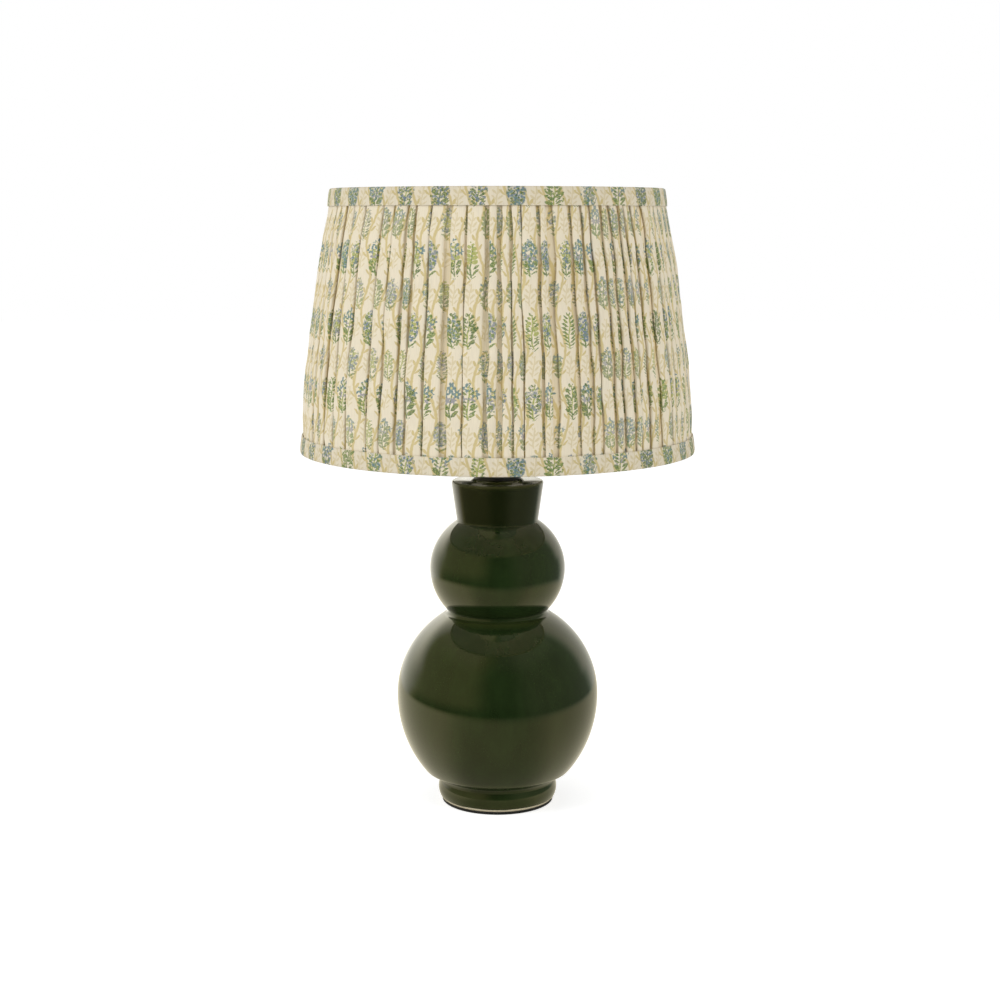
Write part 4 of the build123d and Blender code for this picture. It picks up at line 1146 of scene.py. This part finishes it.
# ---------------------------------------------------------------- lampholder
@dataclass
class Lampholder:
    """Cap on the neck, saddle, socket and switch."""

    modeller: Modeller = field(default_factory=lambda: Modeller("lamp_base"))
    switch: Modeller = field(default_factory=lambda: Modeller("switch"))

    def build(self) -> None:
        """Build and dress the lampholder."""
        finishes = {"neck_gasket": (RUBBER, "pad_rubber"), "neck_cap": (BLACK_METAL, "dark_metal"),
                    "harp_saddle": (BLACK_METAL, "dark_metal"), "lock_nut": (ZINC, "zinc_steel"),
                    "socket_cap": (BLACK_METAL, "dark_metal"), "set_screw": (ZINC, "zinc_steel"),
                    "socket_shell": (BLACK_METAL, "dark_metal"), "socket_liner": (CARD, "card"),
                    "socket_core": (RESIN, "moulded_core"), "terminal_screws": (BRASS, "contact_brass"),
                    "screw_shell": (ALUMINIUM, "bright_aluminium"), "center_contact": (BRASS, "contact_brass")}
        for node, (finish, slot) in finishes.items():
            self.modeller.refined(node, finish, slot)
        self.switch.refined("switch_shaft", BRASS, "contact_brass")
        self.switch.refined("switch_knob", PLASTIC, "dark_plastic")


@dataclass
class Bulb:
    """Screw bulb with a frosted envelope."""

    modeller: Modeller = field(default_factory=lambda: Modeller("bulb"))

    def build(self) -> None:
        """Build and dress the bulb."""
        self.modeller.refined("bulb_base", ALUMINIUM, "bright_aluminium")
        self.modeller.refined("bulb_insulator", DARK_GLASS, "dark_glass")
        self.modeller.refined("bulb_contact", SOLDER, "solder")
        self.modeller.refined("bulb_globe", FROSTED, "frosted_glass", 60.0)


@dataclass
class Harp:
    """Harp with its ferrules, stud and finial."""

    def build(self) -> None:
        """Build and dress the harp and what screws on it."""
        Modeller("harp_loop").refined("harp", BLACK_METAL, "dark_metal", 50.0)
        Modeller("ferrule_a").refined("ferrule_left", BLACK_METAL, "dark_metal")
        Modeller("ferrule_b").refined("ferrule_right", BLACK_METAL, "dark_metal")
        Modeller("stud").refined("harp_stud", BLACK_METAL, "dark_metal")
        Modeller("finial_knob").refined("finial", BLACK_METAL, "dark_metal")


# ---------------------------------------------------------------- shade
@dataclass
class Shade:
    """Cone shade: wire frame, stiff liner, pleated cloth and two flat bands.  Sizes are in millimetres."""

    top_z: float = 438.15
    height: float = 181.9
    top_radius: float = 116.0
    bottom_radius: float = 139.2
    band: float = 12.0
    cloth: float = 0.5
    crest_inset: float = 0.9
    crest_under_band: float = 1.0
    recess_inset: float = 3.15
    belly: float = 3.4
    recess_follows: float = 0.8
    liner_inset: float = 3.45
    liner: float = 0.9
    pleats: int = 76
    columns: int = 18
    rows: int = 46
    repeat: float = 24.5
    row_repeat: float = 44.8
    row_shift: float = 21.2
    pleat_cloth: float = 21.8
    rim_width: float = 7.4
    turn_in: float = 2.0
    band_columns: int = 720
    rim_gap: float = 0.9
    width_swing: float = 0.4
    wide_every: int = 9
    wide_extra: float = 0.55
    lean_share: float = 0.06
    open_folds: float = 0.68
    open_recess: tuple[float, float] = (0.18, 0.4)
    shut_recess: tuple[float, float] = (0.05, 0.12)
    cloth_swing: tuple[float, float] = (0.8, 1.2)
    seed: int = 7
    modeller: Modeller = field(default_factory=lambda: Modeller("shade"))

    @property
    def bottom_z(self) -> float:
        """Level of the bottom rim."""
        return self.top_z - self.height

    def radius(self, z: float, inset: float = 0.0) -> float:
        """Return the radius of the cone at a level, moved in by an inset."""
        slope = (self.bottom_radius - self.top_radius) / self.height
        return self.top_radius + slope * (self.top_z - z) - inset

    def widths(self) -> list[float]:
        """Share of the turn that each pleat takes, unevenly laid."""
        dice = random.Random(self.seed)
        shares = []
        for index in range(self.pleats):
            wide = 1.0 + dice.uniform(-self.width_swing, self.width_swing)
            if index % self.wide_every == 4:
                wide += self.wide_extra
            shares.append(wide)
        full = sum(shares)
        return [share / full for share in shares]

    def fold(self, pitch: float, depth: float, cloth: float, recess_share: float,
             leans_right: bool) -> list[Vector]:
        """Section of one pleat: a recess, a hidden tuck and a flat crest with a rounded far edge.

        Args:
            pitch: Width of the pleat in millimetres.
            depth: Height of its crest over the recess.
            cloth: Length of cloth in the pleat.
            recess_share: Share of the pitch that the recess takes.
            leans_right: True if the crest overhangs on the other side.

        Returns:
            Points across the pleat and out from the recess, in millimetres.
        """
        recess = pitch * recess_share
        tuck = max(0.8, min((cloth - pitch - depth * 1.7) / 2, pitch * 0.45))
        edge = recess + pitch * 0.02
        inner = Vector((recess + tuck, depth * 0.12))
        under = Vector((edge, depth * 0.22))
        lip = Vector((recess + pitch * 0.05, depth))
        shoulder = Vector((pitch * 0.9, depth * 0.9))
        end = Vector((pitch * 0.985, depth * 0.07))
        spans = [(Vector((0, 0)), Vector((recess * 0.6, 0)), Vector((recess, depth * 0.03)), inner, 4),
                 (inner, inner + Vector((0, depth * 0.08)), under + Vector((tuck * 0.5, 0)), under, 4),
                 (under, Vector((edge - pitch * 0.06, depth * 0.28)),
                  Vector((edge - pitch * 0.04, depth)), lip, 5),
                 (lip, Vector((recess + pitch * 0.2, depth * 1.06)), Vector((pitch * 0.75, depth)), shoulder, 5),
                 (shoulder, Vector((pitch * 0.98, depth * 0.82)), Vector((pitch * 0.99, depth * 0.5)), end, 4)]
        points: list[Vector] = []
        for start, leave, arrive, stop, count in spans:
            run = geometry.interpolate_bezier(start, leave, arrive, stop, count)
            points += [Vector(p) for p in (run if not points else run[1:])]
        if leans_right:
            points = [Vector((pitch - p.x, p.y)) for p in reversed(points)]
        return points

    def cloth_place(self) -> tuple[Callable, Callable, Callable]:
        """Work out where each point of the cloth lies.

        Returns:
            Three functions of the share along the cloth and up it: the place, the cloth's own map, and
            how far the point stands out of the folds.
        """
        shares = self.widths()
        dice = random.Random(self.seed + 1)
        starts = [sum(shares[:index]) for index in range(self.pleats)]
        leans = [dice.random() < self.lean_share for _ in range(self.pleats)]
        recesses = [dice.uniform(*(self.open_recess if dice.random() < self.open_folds else self.shut_recess))
                    for _ in range(self.pleats)]
        cloths = [self.pleat_cloth * dice.uniform(*self.cloth_swing) for _ in range(self.pleats)]
        laid = [sum(cloths[:index]) for index in range(self.pleats)]
        low, high = self.bottom_z + self.rim_gap, self.top_z - self.rim_gap
        cache: dict[tuple[int, int], list[Vector]] = {}
        lengths: dict[int, list[float]] = {}

        def section(pleat: int, row: int) -> list[Vector]:
            key = (pleat, row)
            if key not in cache:
                z = low + (high - low) * row / self.rows
                pitch = 2 * math.pi * self.radius(z) * shares[pleat]
                depth = self.recess_at(z) - self.crest_inset_at(z, pleat)
                open_share = recesses[pleat] * (1 + 0.55 * noise.noise(Vector((pleat * 2.3, z * 0.03, 4.0))))
                cache[key] = self.fold(pitch, depth, cloths[pleat], open_share, leans[pleat])
            return cache[key]

        def along(pleat: int) -> list[float]:
            if pleat not in lengths:
                run = section(pleat, self.rows // 2)
                total = [0.0]
                for first, second in zip(run, run[1:]):
                    total.append(total[-1] + (second - first).length)
                closing = total[-1] + (run[-1] - run[-2]).length * 0.4
                lengths[pleat] = [value / closing for value in total]
            return lengths[pleat]

        def split(share: float) -> tuple[int, int]:
            column = round(share * self.pleats * self.columns)
            return min(column // self.columns, self.pleats - 1), column

        def place(share: float, up: float) -> Vector:
            pleat, column = split(share)
            row = round(up * self.rows)
            z = low + (high - low) * up
            point = section(pleat, row)[column - pleat * self.columns]
            radius = self.radius(z, self.recess_at(z)) + point.y
            wander = noise.noise(Vector((pleat * 3.1, z * 0.021, 2.0))) * 1.5
            wander += noise.noise(Vector((pleat * 0.37, z * 0.05, 9.0))) * 0.9
            edge = min(z - self.bottom_z, self.top_z - z)
            calm = min(1.0, max(0.0, (edge - 6.0) / 25.0))
            angle = 2 * math.pi * starts[pleat] + (point.x + wander * calm) / self.radius(z)
            angle -= math.pi / 2
            spot = Vector((math.cos(angle), math.sin(angle)))
            puff = noise.noise(Vector((spot.x * 9, spot.y * 9, z * 0.045))) * 0.75
            puff += noise.noise(Vector((spot.x * 30, spot.y * 30, z * 0.11))) * 0.5
            radius += puff * calm * point.y / 3.6
            return Vector((spot.x * radius, spot.y * radius, z)) * MM

        def chart(share: float, up: float) -> Point:
            pleat, column = split(share)
            local = column - pleat * self.columns
            part = along(pleat)[local] if local < self.columns else 1.0
            return ((laid[pleat] + cloths[pleat] * part) * MM, (up * (high - low) + self.row_shift) * MM)

        def rise(share: float, up: float) -> float:
            pleat, column = split(share)
            run = section(pleat, round(up * self.rows))
            return run[(column - pleat * self.columns) % self.columns].y / max(point.y for point in run)

        return place, chart, rise

    def belly_at(self, z: float) -> float:
        """Return how far the cloth bellies out at a level, fuller in its lower half."""
        low, high = self.bottom_z + self.band, self.top_z - self.band
        middle = (low + high) / 2
        free = min(1.0, max(0.0, min(z - low, high - z) / (middle - low)))
        return self.belly * (1 - (1 - free) ** (3.4 if z < middle else 2.3))

    def recess_at(self, z: float) -> float:
        """Return how far in the recesses lie at a level."""
        return self.recess_inset - self.recess_follows * self.belly_at(z)

    def crest_inset_at(self, z: float, pleat: int) -> float:
        """Return how far in the crests lie at a level: under the bands at the rims, and full between them."""
        edge = min(z - self.bottom_z, self.top_z - z)
        share = min(1.0, max(0.0, (edge - self.band + 1.0) / 4.0))
        share = share * share * (3 - 2 * share)
        uneven = 0.8 * noise.noise(Vector((pleat * 1.7, z * 0.02, 5.0)))
        inset = self.crest_inset + (uneven + 0.2) * share - self.belly_at(z)
        return self.crest_under_band + (inset - self.crest_under_band) * share

    def pleated(self) -> bpy.types.Object:
        """Fold the printed cloth round the cone."""
        place, chart, rise = self.cloth_place()
        mesh = wrapped_grid(self.pleats * self.columns, self.rows, place, chart, rise=rise)
        made = self.modeller.piece("pleated_cloth", mesh, CLOTH, "printed_cloth", ["pleated_fabric"], 75.0)
        return made

    def band_strip(self, name: str, node: str, rim_z: float, way: int) -> bpy.types.Object:
        """Lay a flat band of the same cloth over a rim.

        Args:
            name: Name of the piece.
            node: CAD node that it stands for.
            rim_z: Level of the rim.
            way: 1 if the band runs up from the rim and -1 if it runs down.

        Returns:
            The band.
        """
        thick = self.cloth
        lift = way * 0.5
        section = arc_through((0.0, way * self.band), (-0.22, way * self.band * 0.55), (0.0, way * 1.2), 9)
        section += [(0.35, lift * 0.5), (1.2, 0.0), (self.rim_width - 1.0, 0.0), (self.rim_width - 0.2, lift),
                    (self.rim_width, way * 1.4), (self.rim_width, way * self.turn_in)]
        inner = [(self.rim_width - thick, way * self.turn_in), (self.rim_width - thick, way * 1.5),
                 (self.rim_width - 1.2, way * thick * 1.4), (1.4, way * thick * 1.4), (0.9, way * 1.6),
                 (thick + 0.05, way * 3.0), (thick + 0.05, way * self.band)]
        loop = section + inner
        count = len(loop)
        lengths = [0.0]
        for first, second in zip(loop, loop[1:] + loop[:1]):
            lengths.append(lengths[-1] + math.dist(first, second))

        def place(turn: float, across: float) -> Vector:
            inset, rise = loop[round(across * count) % count]
            angle = 2 * math.pi * turn - math.pi / 2
            z = rim_z + rise
            ripple = noise.noise(Vector((math.cos(angle) * 22, math.sin(angle) * 22, z * 0.02))) * 0.16
            ripple += noise.noise(Vector((math.cos(angle) * 60, math.sin(angle) * 60, z * 0.1))) * 0.07
            if inset > 2:
                ripple = 0.0
            radius = self.radius(z, inset) + ripple
            return Vector((radius * math.cos(angle), radius * math.sin(angle), z)) * MM

        def chart(turn: float, across: float) -> Point:
            girth = 2 * math.pi * self.radius(rim_z)
            repeats = round(girth / self.repeat)
            along = turn * repeats * self.repeat
            up = self.row_repeat / 2 - way * (lengths[round(across * count)] - self.band / 2)
            return along * MM, up * MM

        mesh = wrapped_grid(self.band_columns, count, place, chart, close_rows=True)
        made = self.modeller.piece(name, mesh, BAND_CLOTH, "printed_trim", [node], 60.0)
        girth = 2 * math.pi * self.radius(rim_z) * MM
        return made

    def build(self) -> None:
        """Build and dress the shade."""
        low, high = self.bottom_z + 0.8, self.top_z - 0.8
        inner = self.liner_inset + self.liner
        outline = [(self.radius(low, self.liner_inset), low), (self.radius(high, self.liner_inset), high),
                   (self.radius(high, inner), high), (self.radius(low, inner), low)]
        mesh = turned(outline, 256, closed=True)
        self.modeller.piece("shade_liner_shown", mesh, LINER, "liner_sheet", ["shade_liner"])
        self.modeller.refined("spider", WHITE_WIRE, "white_wire", 50.0)
        self.modeller.refined("bottom_ring", WHITE_WIRE, "white_wire", 60.0)
        self.pleated()
        self.band_strip("top_band", "top_trim", self.top_z, -1)
        self.band_strip("bottom_band", "bottom_trim", self.bottom_z, 1)


# ---------------------------------------------------------------- studio
@dataclass(frozen=True)
class SoftLamp:
    """A soft square lamp, hidden from the camera and from mirrored rays."""

    name: str
    place: Colour
    size: float
    power: float


@dataclass
class Studio:
    """Camera, floor, surroundings and lamps."""

    camera_place: tuple[float, float, float] = (0.0018, -1.2507, 0.4181)
    camera_pitch: float = 9.01
    lens: float = 64.0
    warm_white: Colour = (1.0, 0.93, 0.72)
    table_centre: tuple[float, float] = (-0.04, 0.12)
    table_reach: tuple[float, float] = (0.52, 0.46)
    wall_dip: float = 0.17
    world_level: float = 0.56
    floor_white: float = 0.9
    floor_lift: float = 0.58
    floor_half: float = 6.0
    floor_drop: float = 0.3 * MM
    lamp_aim: tuple[float, float, float] = (0.0, 0.0, 0.22)
    lamps: tuple[SoftLamp, ...] = (SoftLamp("key_left", (-1.6, -0.9, 1.0), 0.9, 15.0),
                                   SoftLamp("fill_right", (1.5, -1.3, 0.9), 1.0, 12.0))

    def camera(self) -> None:
        """Set the camera where the photograph was taken from."""
        data = bpy.data.cameras.new("photo_camera")
        data.lens = self.lens
        data.sensor_width = 36.0
        made = bpy.data.objects.new("photo_camera", data)
        made.location = self.camera_place
        made.rotation_euler = (math.radians(90 - self.camera_pitch), 0.0, 0.0)
        bpy.context.scene.collection.objects.link(made)
        bpy.context.scene.camera = made

    def floor(self) -> None:
        """Lay a white floor that keeps the lamp's shadow, and show mirrored rays a table in its place."""
        mesh = bmesh.new()
        bmesh.ops.create_grid(mesh, x_segments=2, y_segments=2, size=self.floor_half)
        bmesh.ops.translate(mesh, verts=mesh.verts, vec=(0, 0, -self.floor_drop))
        data = bpy.data.meshes.new("studio_floor")
        mesh.to_mesh(data)
        mesh.free()
        made = bpy.data.objects.new("studio_floor", data)
        bpy.context.scene.collection.objects.link(made)
        paint = bpy.data.materials.new("studio_white")
        paint.use_nodes = True
        sketch = Sketch(paint.node_tree)
        paint.node_tree.nodes.clear()
        rays = sketch.add("LightPath")
        mirror = sketch.add("Emission")
        brightness, tint = self.table(sketch)
        sketch.put(mirror.inputs["Strength"], brightness)
        sketch.put(mirror.inputs["Color"], tint)
        white = sketch.add("BsdfDiffuse")
        white.inputs["Color"].default_value = (*[self.floor_white] * 3, 1.0)
        lift = sketch.add("Emission")
        lift.inputs["Strength"].default_value = self.floor_lift
        shown = sketch.add("AddShader")
        sketch.put(shown.inputs[0], white.outputs[0])
        sketch.put(shown.inputs[1], lift.outputs[0])
        plain = sketch.add("MixShader")
        sketch.put(plain.inputs[0], rays.outputs["Is Camera Ray"])
        sketch.put(plain.inputs[1], white.outputs[0])
        sketch.put(plain.inputs[2], shown.outputs[0])
        mixed = sketch.add("MixShader")
        sketch.put(mixed.inputs[0], rays.outputs["Is Glossy Ray"])
        sketch.put(mixed.inputs[1], plain.outputs[0])
        sketch.put(mixed.inputs[2], mirror.outputs[0])
        out = sketch.add("OutputMaterial")
        sketch.put(out.inputs[0], mixed.outputs[0])
        data.materials.append(paint)

    def table(self, sketch: Sketch) -> tuple[Socket, Socket]:
        """Work out how bright the table looks in a mirror: white near the lamp, with a painted shadow by the foot
        and painted shade in front, then as the walls.

        Args:
            sketch: The floor's tree.

        Returns:
            The brightness and the colour.
        """
        x, y, _ = sketch.split(sketch.add("TexCoord").outputs["Object"])
        across = sketch.math("DIVIDE", sketch.math("SUBTRACT", x, self.table_centre[0]), self.table_reach[0])
        along = sketch.math("DIVIDE", sketch.math("SUBTRACT", y, self.table_centre[1]), self.table_reach[1])
        near = sketch.step(sketch.vector("LENGTH", sketch.join(across, along)), 1.24, 0.78)
        reach = sketch.vector("LENGTH", sketch.join(x, y))
        ahead = sketch.math("DIVIDE", sketch.math("MULTIPLY", y, -1.0), sketch.math("MAXIMUM", reach, 0.001))
        # Painted light and shadow for mirrored rays only: brighter to the left, dimmer within 12 cm of the foot and
        # dimmer ahead of the lamp.
        bright = sketch.math("MULTIPLY", sketch.step(x, -0.25, 0.25, 1.35, 1.0),
                             sketch.step(reach, 0.04, 0.12, 0.75, 1.0))
        bright = sketch.math("MULTIPLY", bright, sketch.step(ahead, 0.45, 0.95, 1.0, 0.5))
        walls = sketch.use(StudioWalls.group(), Direction=sketch.join(x, y, -self.wall_dip))
        lead = sketch.math("MULTIPLY", sketch.math("SUBTRACT", bright, walls.outputs["Strength"]), near)
        strength = sketch.math("ADD", walls.outputs["Strength"], lead)
        return strength, sketch.mix(near, walls.outputs["Tint"], self.warm_white)

    def surroundings(self) -> None:
        """Surround the lamp with white, and show mirrored rays the walls of a studio in its place."""
        world = bpy.data.worlds.new("studio")
        bpy.context.scene.world = world
        world.use_nodes = True
        sketch = Sketch(world.node_tree)
        world.node_tree.nodes.clear()
        rays = sketch.add("LightPath")
        walls = sketch.use(StudioWalls.group(), Direction=sketch.add("TexCoord").outputs["Generated"])
        mirror = self.glow(sketch, walls.outputs["Strength"], walls.outputs["Tint"])
        matt = self.glow(sketch, self.world_level, (1.0, 1.0, 1.0))
        shown = self.glow(sketch, 1.0, (1.0, 1.0, 1.0))
        first = sketch.add("MixShader")
        sketch.put(first.inputs[0], rays.outputs["Is Glossy Ray"])
        sketch.put(first.inputs[1], matt)
        sketch.put(first.inputs[2], mirror)
        second = sketch.add("MixShader")
        behind = sketch.math("MAXIMUM", rays.outputs["Is Camera Ray"], rays.outputs["Is Transmission Ray"])
        sketch.put(second.inputs[0], behind)
        sketch.put(second.inputs[1], first.outputs[0])
        sketch.put(second.inputs[2], shown)
        out = sketch.add("OutputWorld")
        sketch.put(out.inputs[0], second.outputs[0])

    @staticmethod
    def glow(sketch: Sketch, strength: object, colour: Colour) -> Socket:
        """Return a background of one colour and the given strength."""
        node = sketch.add("Background")
        sketch.put(node.inputs["Color"], colour)
        sketch.put(node.inputs["Strength"], strength)
        return node.outputs[0]

    def hang(self, lamp: SoftLamp) -> None:
        """Hang a lamp that looks at the middle of the object.

        Args:
            lamp: Its name, place, size in metres and power in watts.
        """
        data = bpy.data.lights.new(lamp.name, "AREA")
        data.size = lamp.size
        data.energy = lamp.power
        made = bpy.data.objects.new(lamp.name, data)
        made.location = lamp.place
        aim = Vector(self.lamp_aim) - Vector(lamp.place)
        made.rotation_euler = aim.to_track_quat("-Z", "Y").to_euler()
        made.visible_camera = False
        made.visible_glossy = False
        bpy.context.scene.collection.objects.link(made)

    def build(self) -> None:
        """Set up the whole studio."""
        bpy.context.scene.view_settings.view_transform = "Standard"
        self.camera()
        self.floor()
        self.surroundings()
        for lamp in self.lamps:
            self.hang(lamp)


def main() -> None:
    """Build the lamp and its studio."""
    logging.basicConfig(level=logging.INFO, format="%(name)s: %(message)s")
    for part in (GourdBase(), Lampholder(), Bulb(), Harp(), Shade(), Studio()):
        part.build()
        LOG.info("%s is built", type(part).__name__)


if __name__ == "__main__":
    main()
